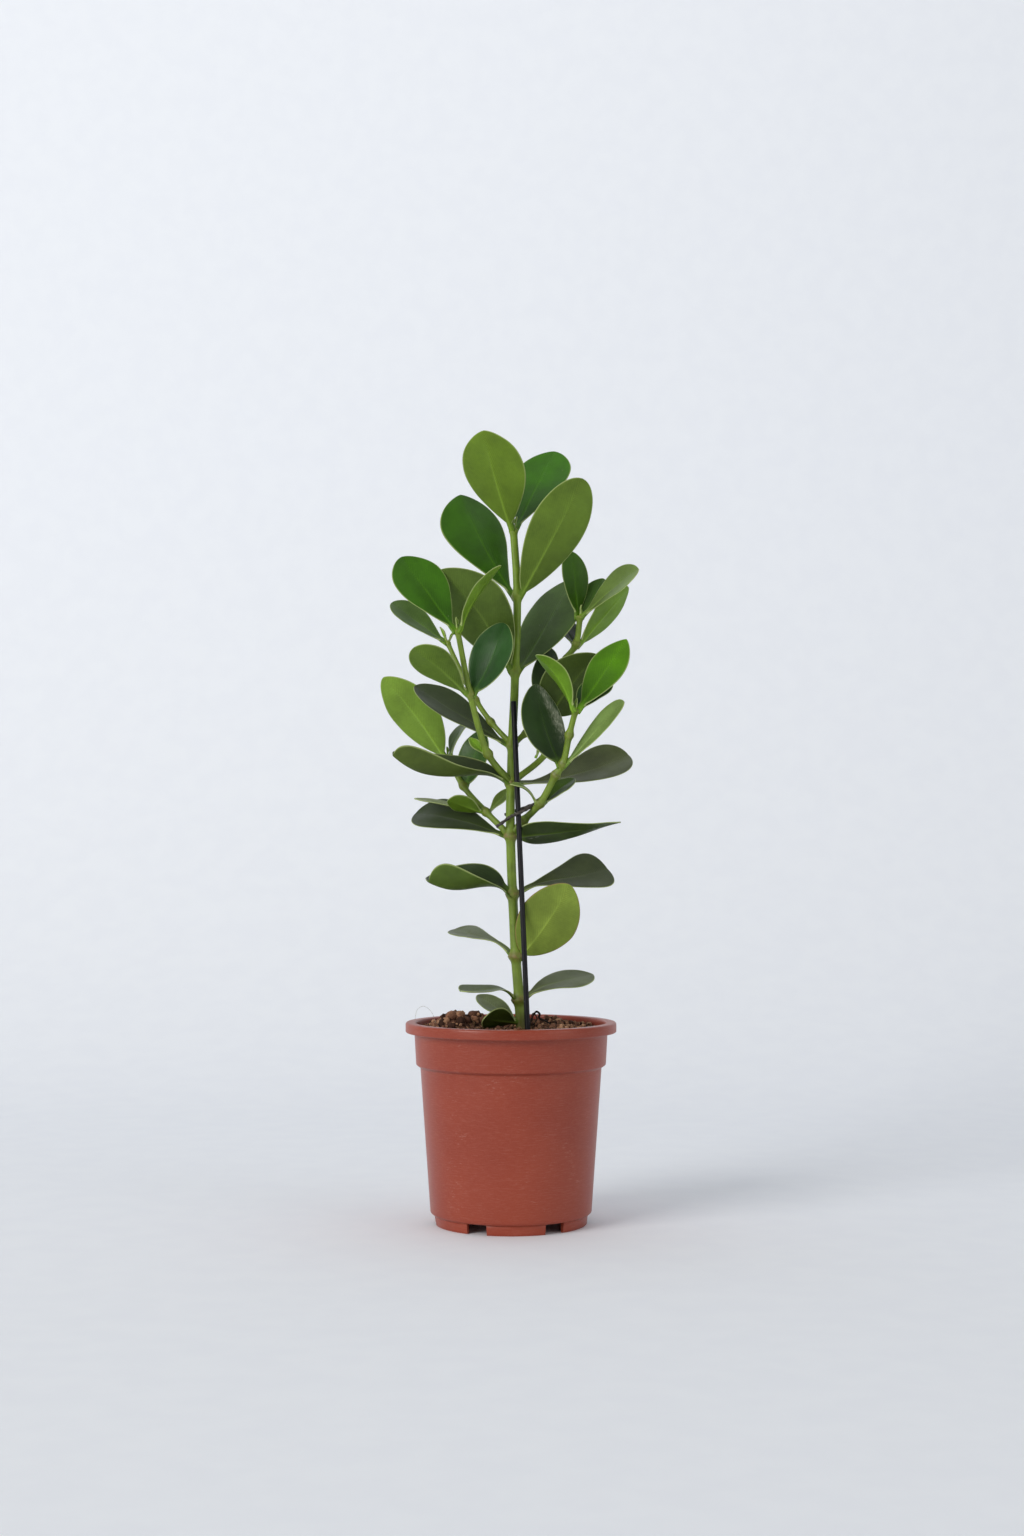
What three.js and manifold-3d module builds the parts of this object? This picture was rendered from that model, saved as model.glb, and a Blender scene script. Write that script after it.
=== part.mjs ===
// A young clusia in a nursery pot: pot, potting soil, support stake, tie wire, a main stem,
// six side branches and 45 leaves.
// Millimetres, +Z up. The origin is the middle of the pot's underside, and the front is -Y.
import * as THREE from "three";
import { mergeVertices } from "three/addons/utils/BufferGeometryUtils.js";
import Module from "manifold-3d";

// ---------- driving dimensions ----------
const GAP = 0.3; // clearance between touching pieces

const POT = {
  lipRadius: 85,
  lipTop: 161.3,
  lipBottom: 153.3,
  collarTopRadius: 78,
  collarBottomRadius: 76.3,
  collarBottom: 127,
  bodyTopRadius: 72.7,
  bodyTop: 123.2,
  bodyBottomRadius: 64.9,
  bodyBottom: 10.3,
  footTopRadius: 62.4,
  footTop: 7.6,
  footRadius: 61,
  footWall: 3,
  wall: 1.5,
  floorUnderside: 9,
  lipEdge: 0.8, // bevel of the lip's lower edge
  lipRound: 1.5, // bevel of its upper edge
  segments: 48,
};
const FOOT_NOTCHES = { count: 6, first: -86, width: 17, height: 8.4 };
const DRAIN_HOLES = { count: 6, first: -57, radius: 4.5, ring: 46, sides: 16 };
const TOOL_LENGTH = 12; // of the shapes that cut the notches and the holes

const SOIL = {
  level: 155,
  bottom: 11,
  edgeGap: 0.7, // extra room beside the collar
  edgeDrop: 3, // how far below its level the soil meets the pot
  ripple: { height: 1.2, alongX: 0.21, alongY: 0.17 },
  rings: 7,
  segments: 36,
};
// Clods and hollows of the soil's surface: middle (x, y), spread and height above SOIL.level.
const SOIL_MOUNDS = [
  { x: -46, y: -16, spread: 14, height: 14 },
  { x: -26, y: 6, spread: 11, height: 9 },
  { x: -50, y: 14, spread: 14, height: 9 },
  { x: -8, y: 34, spread: 18, height: 6 },
  { x: 34, y: 30, spread: 20, height: 5 },
  { x: 44, y: -18, spread: 16, height: 3 },
  { x: 14, y: -46, spread: 16, height: -4 },
  { x: 58, y: 8, spread: 12, height: -5 },
];

const STAKE = { top: [2, -5.8, 419.8], foot: [18.7, -22, 30], radius: 2.15, sides: 12 };

const WIRE = { radius: 0.95, steps: 30, sides: 8 };
// The wire passes in front of the stem and the stake, turns behind the right-hand branch and
// comes back behind the stem.
const WIRE_ROUTE = [
  [-12, -4, 318.5],
  [-6.5, -4.4, 322.2],
  [-0.8, -4.2, 326.4],
  [4.8, -13.4, 328.8],
  [11.5, -11, 332],
  [16.5, -4, 335],
  [20, 0.5, 337],
  [16, 6, 336],
  [8, 8.4, 333],
  [0, 8.4, 330.5],
  [-5, 6.6, 328.5],
];

const LEAF_THICKNESS = 1.1;
const LEAF_CLEARANCE = 0.8; // from the stem's surface to a leaf's base
const LEAF_SIDES = 8;
const LEAF_RINGS = 10;
const BLADE_START = 0.03; // share of a leaf's length that is only its stalk
const STALK = { halfWidth: 1.6, share: 0.07 }; // its greatest half width, and its share of the leaf's
const FOLD_CURVE = 1.5; // how a half's lift grows from the midrib to the margin
const RISE_SCALE = 9.48; // makes the highest value of t (1 - t)^3 one

const STEM_STEPS = 3; // between two points of a stem
// Centre lines of the stems, one point at each pair of leaves, with the radius at both ends.
const STEMS = {
  main_stem: {
    radius: [4.2, 3],
    sides: 10,
    points: [
      [9, 2, 120], [7.7, 2, 161], [6.5, 2, 179], [4, 2, 214], [1.2, 2, 264], [-0.4, 2, 311],
      [0, 2, 354], [0.8, 2, 385], [3.5, 2, 445], [5, 2, 506.5], [2, 2, 562],
    ],
  },
  branch_left_low: {
    radius: [2.6, 2.2],
    sides: 8,
    points: [[-0.4, 2, 311], [-20.5, 14, 331], [-39.5, 30, 352.5], [-52.5, 44, 377]],
  },
  branch_left_mid: {
    radius: [2.8, 2.2],
    sides: 8,
    points: [[0, 2, 354], [-18.5, -16, 377], [-32.5, -34, 424], [-42.5, -46, 474]],
  },
  branch_left_top: {
    radius: [2.2, 1.9],
    sides: 8,
    points: [[0.8, 2, 385], [-16.5, 12, 404.5], [-29, 20, 423], [-38, 28, 440], [-53, 36, 472.5]],
  },
  branch_right_low: {
    radius: [3, 2.3],
    sides: 8,
    points: [
      [-0.4, 2, 311], [9.5, 1, 323], [23.5, -8, 337.5], [36, -17, 360], [41.5, -21, 368.5],
      [46.5, -30, 391.5], [51.5, -38, 411.5],
    ],
  },
  branch_right_mid: {
    radius: [2.6, 2.4],
    sides: 8,
    points: [
      [0, 2, 354], [29.5, 12, 380], [37, 20, 410.5], [45.5, 22, 456.5], [53.5, 22, 469],
      [57, 21, 492.5],
    ],
  },
  branch_right_top: {
    radius: [2.2, 2],
    sides: 8,
    points: [[0.8, 2, 385], [12, 6, 395], [28.5, 13, 409.5]],
  },
};

// One row for each leaf: the stem's point it grows from, the offset from its base to its tip and
// its width. roll turns it about its length, twist is how much more it turns from base to tip,
// and fold is the lift of its halves, all in degrees. arch, rise and sway bend the midrib (rise
// near the base only), as shares of the length. widest is where along it the leaf is widest, and
// full is smaller for a blunter outline.
const LEAVES = {
  leaf_main_9_front: {
    on: "main_stem", at: 10, tip: [-22, -43, 71], width: 56, fold: 4, sway: 0.02, full: 0.62,
  },
  leaf_main_9_back: {
    on: "main_stem", at: 10, tip: [32, 46, 72], width: 50, roll: 12, fold: 4, widest: 0.66,
  },
  leaf_main_8_front: {
    on: "main_stem", at: 9, tip: [49, -44, 88], width: 47, roll: -28, fold: 4, sway: -0.01,
    full: 0.5,
  },
  leaf_main_8_back: {
    on: "main_stem", at: 9, tip: [-45, 47, 91], width: 56, roll: -20, fold: -8, sway: -0.03,
    widest: 0.68,
  },
  leaf_main_7_front: {
    on: "main_stem", at: 8, tip: [-57, -20, 80], width: 56, roll: 45, fold: 4, sway: -0.07,
    widest: 0.58,
  },
  leaf_main_7_back: {
    on: "main_stem", at: 8, tip: [44, 56, 82], width: 51, roll: 9, fold: 0, sway: 0.02,
    widest: 0.58,
  },
  leaf_main_6_left: {
    on: "main_stem", at: 7, tip: [-76, 14, 49], width: 40, roll: -32, widest: 0.66,
  },
  leaf_main_5_left: {
    on: "main_stem", at: 6, tip: [-90, -34, 21], width: 45, roll: 0, twist: 66, fold: 20,
    arch: -0.1, rise: 0.07, widest: 0.68, full: 0.42,
  },
  leaf_main_5_right: {
    on: "main_stem", at: 6, tip: [93, 30, 24], width: 52, roll: 30, fold: 8, arch: -0.06,
    widest: 0.8, full: 0.42,
  },
  leaf_main_4_left: {
    on: "main_stem", at: 5, tip: [-74, 28, 19], width: 48, roll: -31, fold: 6, arch: 0.05,
    widest: 0.76, full: 0.42,
  },
  leaf_main_4_right: {
    on: "main_stem", at: 5, tip: [84, -22, 11], width: 37, roll: -20, twist: 40, fold: 4,
    arch: -0.02, widest: 0.38, full: 0.55,
  },
  leaf_main_3_left: {
    on: "main_stem", at: 4, tip: [-63, -28, 11], width: 50, roll: -18, twist: 96, fold: 42,
    arch: -0.09, rise: 0.14, widest: 0.66, full: 0.38,
  },
  leaf_main_3_right: {
    on: "main_stem", at: 4, tip: [74, 26, 20], width: 52, roll: 33, fold: 6, rise: 0.06,
    widest: 0.84, full: 0.36,
  },
  leaf_main_2_left: {
    on: "main_stem", at: 3, tip: [-47, 36, 18], width: 32, roll: -22, fold: 8, arch: 0.02,
    rise: 0.08, widest: 0.78, full: 0.48,
  },
  leaf_main_2_right: {
    on: "main_stem", at: 3, tip: [39, -16, 58], width: 49, roll: -60, fold: 4, sway: -0.03,
    widest: 0.5,
  },
  leaf_main_1_left: {
    on: "main_stem", at: 2, tip: [-43, -30, 9], width: 26, roll: -12, arch: 0.03, rise: 0.1,
    widest: 0.74, full: 0.5,
  },
  leaf_main_1_right: {
    on: "main_stem", at: 2, tip: [57, 32, 18], width: 32, roll: 22, fold: 4, arch: 0.03,
    rise: 0.06, widest: 0.66,
  },
  leaf_main_0_back: { on: "main_stem", at: 1, tip: [-29, 35, 18], width: 24, roll: -20 },
  leaf_main_0_front: { on: "main_stem", at: 1, tip: [-22, -33, 6], width: 26, roll: 35 },
  leaf_left_low_1_front: { on: "branch_left_low", at: 1, tip: [-28, -9, 9], width: 20, roll: 40 },
  leaf_left_low_1_back: { on: "branch_left_low", at: 1, tip: [18, 14, 20], width: 12, roll: 22 },
  leaf_left_low_1_left: { on: "branch_left_low", at: 1, tip: [-56, 12, 11], width: 15, roll: -16 },
  leaf_left_low_2_right: {
    on: "branch_left_low", at: 2, tip: [13, 10, 47], width: 30, roll: 20, widest: 0.5,
  },
  leaf_left_low_3_front: {
    on: "branch_left_low", at: 3, tip: [-50, -17, 65], width: 42, roll: 45, fold: 4, sway: -0.03,
    widest: 0.54,
  },
  leaf_left_low_3_back: {
    on: "branch_left_low", at: 3, tip: [19, 14, 31], width: 22, roll: -5, arch: 0.15,
  },
  leaf_left_mid_1: { on: "branch_left_mid", at: 1, tip: [-12, 5, 13], width: 9, roll: -45 },
  leaf_left_mid_2_front: {
    on: "branch_left_mid", at: 2, tip: [-41, -28, 34], width: 33, roll: 32, fold: 4, sway: -0.02,
    widest: 0.68, full: 0.5,
  },
  leaf_left_mid_2_back: {
    on: "branch_left_mid", at: 2, tip: [24, 5, 57], width: 37, roll: 50, sway: 0.03, widest: 0.55,
    full: 0.52,
  },
  leaf_left_mid_3_back: {
    on: "branch_left_mid", at: 3, tip: [-43, 23, 61], width: 45, roll: -37, fold: 6, widest: 0.64,
  },
  leaf_left_mid_3_front: {
    on: "branch_left_mid", at: 3, tip: [32, -15, 49], width: 30, roll: 10, fold: 6, arch: 0.07,
  },
  leaf_left_top_4: {
    on: "branch_left_top", at: 4, tip: [-44, 6, 33], width: 32, roll: -35, widest: 0.66,
    full: 0.5,
  },
  leaf_right_low_2_front: {
    on: "branch_right_low", at: 2, tip: [-21, -11, 15], width: 12, roll: -25, arch: 0.15,
  },
  leaf_right_low_2_back: {
    on: "branch_right_low", at: 2, tip: [25, 10, 20], width: 22, roll: 22, arch: 0.04,
  },
  leaf_right_low_4_back: {
    on: "branch_right_low", at: 4, tip: [-19, 9, 65], width: 42, roll: -27, fold: -2, sway: -0.05,
    widest: 0.5, full: 0.54,
  },
  leaf_right_low_4_front: {
    on: "branch_right_low", at: 4, tip: [45, -20, 49], width: 24, roll: 52, widest: 0.68,
    full: 0.46,
  },
  leaf_right_low_6_left: {
    on: "branch_right_low", at: 6, tip: [-29, -13, 42], width: 28, roll: 5, arch: 0.1,
  },
  leaf_right_low_6_right: {
    on: "branch_right_low", at: 6, tip: [39, 22, 58], width: 33, roll: 37, fold: 4, widest: 0.58,
    full: 0.62,
  },
  leaf_right_low_6_back: { on: "branch_right_low", at: 6, tip: [24, 34, 27], width: 28, roll: 15 },
  leaf_right_mid_5_back: {
    on: "branch_right_mid", at: 5, tip: [-5, 4, 54], width: 29, roll: -12, fold: 4, sway: 0.02,
    widest: 0.62, full: 0.52,
  },
  leaf_right_mid_5_front: {
    on: "branch_right_mid", at: 5, tip: [44, -19, 36], width: 34, roll: 48, fold: 12, sway: -0.04,
    widest: 0.68, full: 0.48,
  },
  leaf_right_mid_5_rear: { on: "branch_right_mid", at: 5, tip: [17, 16, 33], width: 24, roll: 12 },
  leaf_right_mid_4_front: {
    on: "branch_right_mid", at: 4, tip: [41, 14, 49], width: 36, roll: -45, fold: 4, full: 0.54,
  },
  leaf_right_mid_4_back: { on: "branch_right_mid", at: 4, tip: [-15, 34, 29], width: 26, roll: 5 },
  leaf_right_top_2_front: {
    on: "branch_right_top", at: 2, tip: [39, -13, 49], width: 54, roll: -40, fold: 4, sway: 0.03,
    widest: 0.44,
  },
  leaf_right_top_2_back: { on: "branch_right_top", at: 2, tip: [2, 19, 58], width: 30, roll: -35 },
};
const LEAF_DEFAULTS = { roll: 0, twist: 0, fold: 10, arch: 0, rise: 0, sway: 0, widest: 0.6, full: 0.6 };

// ---------- materials ----------
const COLOURS = {
  pot: ["#a55a4b", 0.5],
  soil: ["#6b4c3a", 0.95],
  stake: ["#121216", 0.4],
  wire: ["#3c3732", 0.6],
  mainStem: ["#6f9a2c", 0.5],
  branch: ["#7da32c", 0.5],
  leaf: ["#4a7a1e", 0.35],
};

// ---------- booleans ----------
const wasm = await Module();
wasm.setup();

function toSolid(geometry) {
  const bare = geometry.clone();
  bare.deleteAttribute("normal");
  bare.deleteAttribute("uv");
  const merged = mergeVertices(bare, 1e-4);
  return new wasm.Manifold(
    new wasm.Mesh({
      numProp: 3,
      vertProperties: new Float32Array(merged.attributes.position.array),
      triVerts: new Uint32Array(merged.index.array),
    }),
  );
}

function toGeometry(solid) {
  const mesh = solid.getMesh();
  const geometry = new THREE.BufferGeometry();
  geometry.setAttribute("position", new THREE.BufferAttribute(mesh.vertProperties, 3));
  geometry.setIndex(new THREE.BufferAttribute(mesh.triVerts, 1));
  geometry.computeVertexNormals();
  return geometry;
}

function cut(geometry, tools) {
  return toGeometry(tools.reduce((solid, tool) => solid.subtract(toSolid(tool)), toSolid(geometry)));
}

// Colour and roughness of each material are in COLOURS.
function namedMesh(name, geometry, [color, roughness]) {
  const mesh = new THREE.Mesh(geometry, new THREE.MeshStandardMaterial({ color, roughness }));
  mesh.name = name;
  return mesh;
}

// ---------- pot ----------
// A profile of (radius, height) points turned about the Z axis.
function lathe(points, segments) {
  const profile = points.map(([radius, height]) => new THREE.Vector2(radius, height));
  return new THREE.LatheGeometry(profile, segments).rotateX(Math.PI / 2);
}

function potProfile() {
  const p = POT;
  return [
    [0, p.floorUnderside],
    [p.footRadius - p.footWall, p.floorUnderside],
    [p.footRadius - p.footWall, 0],
    [p.footRadius, 0],
    [p.footTopRadius, p.footTop],
    [p.bodyBottomRadius, p.bodyBottom],
    [p.bodyTopRadius, p.bodyTop],
    [p.collarBottomRadius, p.collarBottom],
    [p.collarTopRadius, p.lipBottom],
    [p.lipRadius - p.lipEdge, p.lipBottom],
    [p.lipRadius, p.lipBottom + p.lipEdge],
    [p.lipRadius, p.lipTop - p.lipRound],
    [p.lipRadius - p.lipRound, p.lipTop],
    [p.collarTopRadius - p.wall + p.lipEdge, p.lipTop],
    [p.collarTopRadius - p.wall, p.lipTop - p.lipEdge],
    [p.collarBottomRadius - p.wall, p.collarBottom],
    [p.bodyTopRadius - p.wall, p.bodyTop],
    [p.bodyBottomRadius - p.wall, p.floorUnderside + p.wall],
    [0, p.floorUnderside + p.wall],
  ];
}

// Copies of a tool geometry around the Z axis, the angle measured from the front towards +X.
function around({ count, first }, make) {
  return Array.from({ length: count }, (_, i) =>
    make().rotateZ(THREE.MathUtils.degToRad(first + (360 / count) * i)),
  );
}

function footNotch() {
  const { width, height } = FOOT_NOTCHES;
  return new THREE.BoxGeometry(width, TOOL_LENGTH, 2 * height).translate(0, -POT.footRadius, 0);
}

function drainHole() {
  const { radius, ring, sides } = DRAIN_HOLES;
  return new THREE.CylinderGeometry(radius, radius, TOOL_LENGTH, sides)
    .rotateX(Math.PI / 2)
    .translate(0, -ring, POT.floorUnderside);
}

function makePot() {
  const body = lathe(potProfile(), POT.segments);
  return cut(body, [...around(FOOT_NOTCHES, footNotch), ...around(DRAIN_HOLES, drainHole)]);
}

// ---------- stems ----------
function stemCurve(points) {
  const vectors = points.map((point) => new THREE.Vector3(...point));
  return new THREE.CatmullRomCurve3(vectors, false, "centripetal");
}

// A closed tube that follows a curve, with a radius that changes evenly from start to end.
function taperedTube(curve, [startRadius, endRadius], sides, steps) {
  const frames = curve.computeFrenetFrames(steps);
  const geometry = new THREE.CylinderGeometry(1, 1, 1, sides, steps);
  const position = geometry.attributes.position;
  const point = new THREE.Vector3();
  for (let i = 0; i < position.count; i += 1) {
    const step = Math.round((0.5 - position.getY(i)) * steps);
    const share = step / steps;
    const radius = THREE.MathUtils.lerp(startRadius, endRadius, share);
    curve.getPointAt(share, point);
    point.addScaledVector(frames.normals[step], position.getX(i) * radius);
    point.addScaledVector(frames.binormals[step], position.getZ(i) * radius);
    position.setXYZ(i, point.x, point.y, point.z);
  }
  return geometry;
}

function stemTube({ points, radius, sides }, extra = 0) {
  const steps = STEM_STEPS * (points.length - 1);
  return taperedTube(stemCurve(points), [radius[0] + extra, radius[1] + extra], sides, steps);
}

// A side branch meets the main stem in a saddle that is cut to the stem's own surface.
function makeBranch(stem) {
  return cut(stemTube(stem), [stemTube(STEMS.main_stem, GAP)]);
}

// ---------- stake and wire ----------
function makeStake(extra = 0) {
  const top = new THREE.Vector3(...STAKE.top);
  const foot = new THREE.Vector3(...STAKE.foot);
  const radius = STAKE.radius + extra;
  const length = top.distanceTo(foot) + 2 * extra;
  const turn = new THREE.Quaternion().setFromUnitVectors(
    new THREE.Vector3(0, 1, 0),
    top.clone().sub(foot).normalize(),
  );
  return new THREE.CylinderGeometry(radius, radius, length, STAKE.sides)
    .applyQuaternion(turn)
    .translate(...top.add(foot).multiplyScalar(0.5));
}

function makeWire() {
  const section = new THREE.Shape().absarc(0, 0, WIRE.radius, 0, 2 * Math.PI);
  return new THREE.ExtrudeGeometry(section, {
    extrudePath: stemCurve(WIRE_ROUTE),
    steps: WIRE.steps,
    curveSegments: WIRE.sides,
    bevelEnabled: false,
  });
}

// ---------- soil ----------
function soilHeight(x, y) {
  const { height, alongX, alongY } = SOIL.ripple;
  return SOIL_MOUNDS.reduce((sum, mound) => {
    const distance2 = (x - mound.x) ** 2 + (y - mound.y) ** 2;
    return sum + mound.height * Math.exp(-distance2 / mound.spread ** 2);
  }, SOIL.level + height * Math.sin(alongX * x + 1) * Math.cos(alongY * y));
}

function makeSoil() {
  const inset = POT.wall + GAP;
  const wallTop = POT.collarTopRadius - inset - SOIL.edgeGap;
  const surface = Array.from({ length: SOIL.rings }, (_, i) => [
    wallTop * (1 - (i + 1) / SOIL.rings),
    SOIL.level,
  ]);
  const profile = [
    [0, SOIL.bottom],
    [POT.bodyBottomRadius - inset, SOIL.bottom],
    [POT.bodyTopRadius - inset, POT.bodyTop],
    [POT.collarBottomRadius - inset, POT.collarBottom + GAP],
    [wallTop, SOIL.level - SOIL.edgeDrop],
    ...surface,
  ];
  const geometry = lathe(profile, SOIL.segments);
  const position = geometry.attributes.position;
  for (let i = 0; i < position.count; i += 1) {
    if (Math.abs(position.getZ(i) - SOIL.level) < 1e-3)
      position.setZ(i, soilHeight(position.getX(i), position.getY(i)));
  }
  return cut(geometry, [stemTube(STEMS.main_stem, GAP), makeStake(GAP)]);
}

// ---------- leaves ----------
const UP = new THREE.Vector3(0, 0, 1);

// Where a leaf grows from: beside its stem's centre line, on the side that the leaf points to.
function leafBase({ on, at, tip }) {
  const { points, radius } = STEMS[on];
  const stemRadius = THREE.MathUtils.lerp(radius[0], radius[1], at / (points.length - 1));
  const outward = new THREE.Vector3(tip[0], tip[1], 0).normalize();
  return new THREE.Vector3(...points[at]).addScaledVector(outward, stemRadius + LEAF_CLEARANCE);
}

function leafHalfWidth(t, { width, widest, full }) {
  const blade = THREE.MathUtils.clamp((t - BLADE_START) / (1 - BLADE_START), 0, 1);
  const shape = Math.sin(Math.PI * blade ** (Math.log(0.5) / Math.log(widest)));
  const stalk = Math.min(STALK.halfWidth, STALK.share * width) * (1 - t ** 3);
  return Math.max((width / 2) * Math.max(shape, 0) ** full, stalk);
}

// Across the leaf and up from its face, at t from 0 at the base to 1 at the tip.
function leafDirections(t, along, { roll, twist }) {
  const angle = THREE.MathUtils.degToRad(roll + twist * (t - 0.5));
  const flatUp = UP.clone().addScaledVector(along, -UP.dot(along)).normalize();
  const flatAcross = along.clone().cross(flatUp);
  const up = flatUp.clone().multiplyScalar(Math.cos(angle)).addScaledVector(flatAcross, Math.sin(angle));
  const across = flatAcross.multiplyScalar(Math.cos(angle)).addScaledVector(flatUp, -Math.sin(angle));
  return { up, across };
}

function leafMidrib(t, base, leaf) {
  const chord = new THREE.Vector3(...leaf.tip);
  const along = chord.clone().normalize();
  const level = leafDirections(0.5, along, leaf);
  const bow = 4 * t * (1 - t);
  const lift = leaf.arch * bow + leaf.rise * RISE_SCALE * t * (1 - t) ** 3;
  return base
    .clone()
    .addScaledVector(chord, t)
    .addScaledVector(level.up, lift * chord.length())
    .addScaledVector(level.across, leaf.sway * bow * chord.length());
}

// A sphere whose poles become the leaf's base and tip, flattened to its thickness.
function makeLeaf(row) {
  const leaf = { ...LEAF_DEFAULTS, ...row };
  const base = leafBase(leaf);
  const along = new THREE.Vector3(...leaf.tip).normalize();
  const fold = THREE.MathUtils.degToRad(leaf.fold);
  const geometry = new THREE.SphereGeometry(1, LEAF_SIDES, LEAF_RINGS);
  const position = geometry.attributes.position;
  for (let i = 0; i < position.count; i += 1) {
    const t = THREE.MathUtils.clamp((1 - position.getY(i)) / 2, 0, 1);
    const ring = Math.hypot(position.getX(i), position.getZ(i));
    const atPole = ring < 1e-4;
    const aside = atPole ? 0 : -position.getX(i) / ring;
    const above = atPole ? 0 : position.getZ(i) / ring;
    const halfWidth = leafHalfWidth(t, leaf);
    const { up, across } = leafDirections(t, along, leaf);
    const lift = Math.abs(aside) ** FOLD_CURVE * halfWidth * Math.sin(fold) + (above * LEAF_THICKNESS) / 2;
    const point = leafMidrib(t, base, leaf)
      .addScaledVector(across, aside * halfWidth * Math.cos(fold))
      .addScaledVector(up, lift);
    position.setXYZ(i, point.x, point.y, point.z);
  }
  geometry.computeVertexNormals();
  return geometry;
}

// ---------- assembly ----------
const plant = new THREE.Group();
plant.name = "plant";
plant.add(namedMesh("main_stem", stemTube(STEMS.main_stem), COLOURS.mainStem));
for (const [name, stem] of Object.entries(STEMS)) {
  if (name !== "main_stem") plant.add(namedMesh(name, makeBranch(stem), COLOURS.branch));
}
for (const [name, row] of Object.entries(LEAVES)) {
  plant.add(namedMesh(name, makeLeaf(row), COLOURS.leaf));
}

const holder = new THREE.Group();
holder.name = "holder";
holder.add(namedMesh("pot", makePot(), COLOURS.pot));
holder.add(namedMesh("potting_soil", makeSoil(), COLOURS.soil));
holder.add(namedMesh("support_stake", makeStake(), COLOURS.stake));
holder.add(namedMesh("tie_wire", makeWire(), COLOURS.wire));

const pottedClusia = new THREE.Group();
pottedClusia.name = "potted_clusia";
pottedClusia.add(holder, plant);

export default pottedClusia;
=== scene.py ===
"""A young clusia in a terracotta-coloured nursery pot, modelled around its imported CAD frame."""

import math
import random

import bmesh
import bpy
import numpy as np
from mathutils import Matrix, Vector, noise


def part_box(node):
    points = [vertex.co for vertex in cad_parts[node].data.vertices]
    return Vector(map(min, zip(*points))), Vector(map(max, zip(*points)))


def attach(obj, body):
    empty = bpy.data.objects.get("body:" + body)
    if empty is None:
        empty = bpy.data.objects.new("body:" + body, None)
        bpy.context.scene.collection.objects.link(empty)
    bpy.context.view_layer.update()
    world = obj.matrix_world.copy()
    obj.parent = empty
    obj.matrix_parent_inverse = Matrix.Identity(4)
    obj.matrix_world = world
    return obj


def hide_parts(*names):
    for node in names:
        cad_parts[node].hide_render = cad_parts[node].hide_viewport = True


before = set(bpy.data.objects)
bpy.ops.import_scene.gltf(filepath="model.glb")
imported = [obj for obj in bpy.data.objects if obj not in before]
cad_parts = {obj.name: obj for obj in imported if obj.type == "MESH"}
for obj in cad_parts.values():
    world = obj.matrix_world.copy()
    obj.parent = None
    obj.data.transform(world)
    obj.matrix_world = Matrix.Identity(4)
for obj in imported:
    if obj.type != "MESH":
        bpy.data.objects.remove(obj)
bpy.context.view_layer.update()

MM = 0.001
SEED = 11

# ---------- pot, in millimetres ----------
LIP_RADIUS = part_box("pot")[1][0] / MM
LIP_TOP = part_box("pot")[1][2] / MM
LIP_BOTTOM = LIP_TOP - 8
# Places on the pot's outer face, as radius and height.
COLLAR_TOP = (78, LIP_BOTTOM)
COLLAR_FOOT = (76.5, 127.7)
BODY_TOP = (73, 125.2)
BODY_FOOT = (64.9, 10.3)
FOOT_TOP = (62.4, 7.6)
FOOT_RADIUS = 61
FOOT_WALL = 3
POT_WALL = 1.5
FLOOR_UNDERSIDE = 9
NOTCH = {"count": 6, "first": -86, "width": 17, "height": 8.4}
DRAIN = {"count": 6, "first": -57, "radius": 4.5, "ring": 46}

# ---------- soil, in millimetres ----------
SOIL_LEVEL = 155
SOIL_BOTTOM = 11
SOIL_RADIUS = 74.4
SOIL_MOUNDS = [  # middle x and y, spread, height
    (-46, -16, 14, 14),
    (-26, 6, 11, 9),
    (-50, 14, 14, 9),
    (-8, 34, 18, 6),
    (34, 30, 20, 5),
    (44, -18, 16, 3),
    (14, -46, 16, -4),
    (58, 8, 12, -5),
]

# ---------- stake and wire, in millimetres ----------
STAKE_TOP = (2, -5.8, 419.8)
STAKE_FOOT = (18.7, -22, 30)
STAKE_RADIUS = 2.15
WIRE_RADIUS = 1.3
WIRE_ROUTE = [
    (-12, -4, 318.5), (-6.5, -4.4, 322.2), (-0.8, -4.2, 326.4), (4.8, -13.4, 328.8),
    (11.5, -11, 332), (16.5, -4, 335), (20, 0.5, 337), (16, 6, 336), (8, 8.4, 333),
    (0, 8.4, 330.5), (-5, 6.6, 328.5),
]

# ---------- stems, in millimetres: radius at both ends and one point at each pair of leaves ----------
STEMS = {
    "main_stem": ((4.2, 3.0), [
        (9, 2, 120), (7.7, 2, 161), (6.5, 2, 179), (4, 2, 214), (1.2, 2, 264), (-0.4, 2, 311),
        (0, 2, 354), (0.8, 2, 385), (3.5, 2, 445), (5, 2, 506.5), (2, 2, 562),
    ]),
    "branch_left_low": ((2.6, 2.2), [
        (-0.4, 2, 311), (-20.5, 14, 331), (-39.5, 30, 352.5), (-52.5, 44, 377),
    ]),
    "branch_left_mid": ((2.8, 2.2), [(0, 2, 354), (-18.5, -16, 377), (-32.5, -34, 424), (-42.5, -46, 474)]),
    "branch_left_top": ((2.2, 1.9), [
        (0.8, 2, 385), (-16.5, 12, 404.5), (-29, 20, 423), (-38, 28, 440), (-53, 36, 472.5),
    ]),
    "branch_right_low": ((3.0, 2.3), [
        (-0.4, 2, 311), (9.5, 1, 323), (23.5, -8, 337.5), (36, -17, 360), (41.5, -21, 368.5),
        (46.5, -30, 391.5), (51.5, -38, 411.5),
    ]),
    "branch_right_mid": ((2.6, 2.4), [
        (0, 2, 354), (29.5, 12, 380), (37, 20, 410.5), (45.5, 22, 456.5), (53.5, 22, 469), (57, 21, 492.5),
    ]),
    "branch_right_top": ((2.2, 2.0), [(0.8, 2, 385), (12, 6, 395), (28.5, 13, 409.5)]),
}

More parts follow.
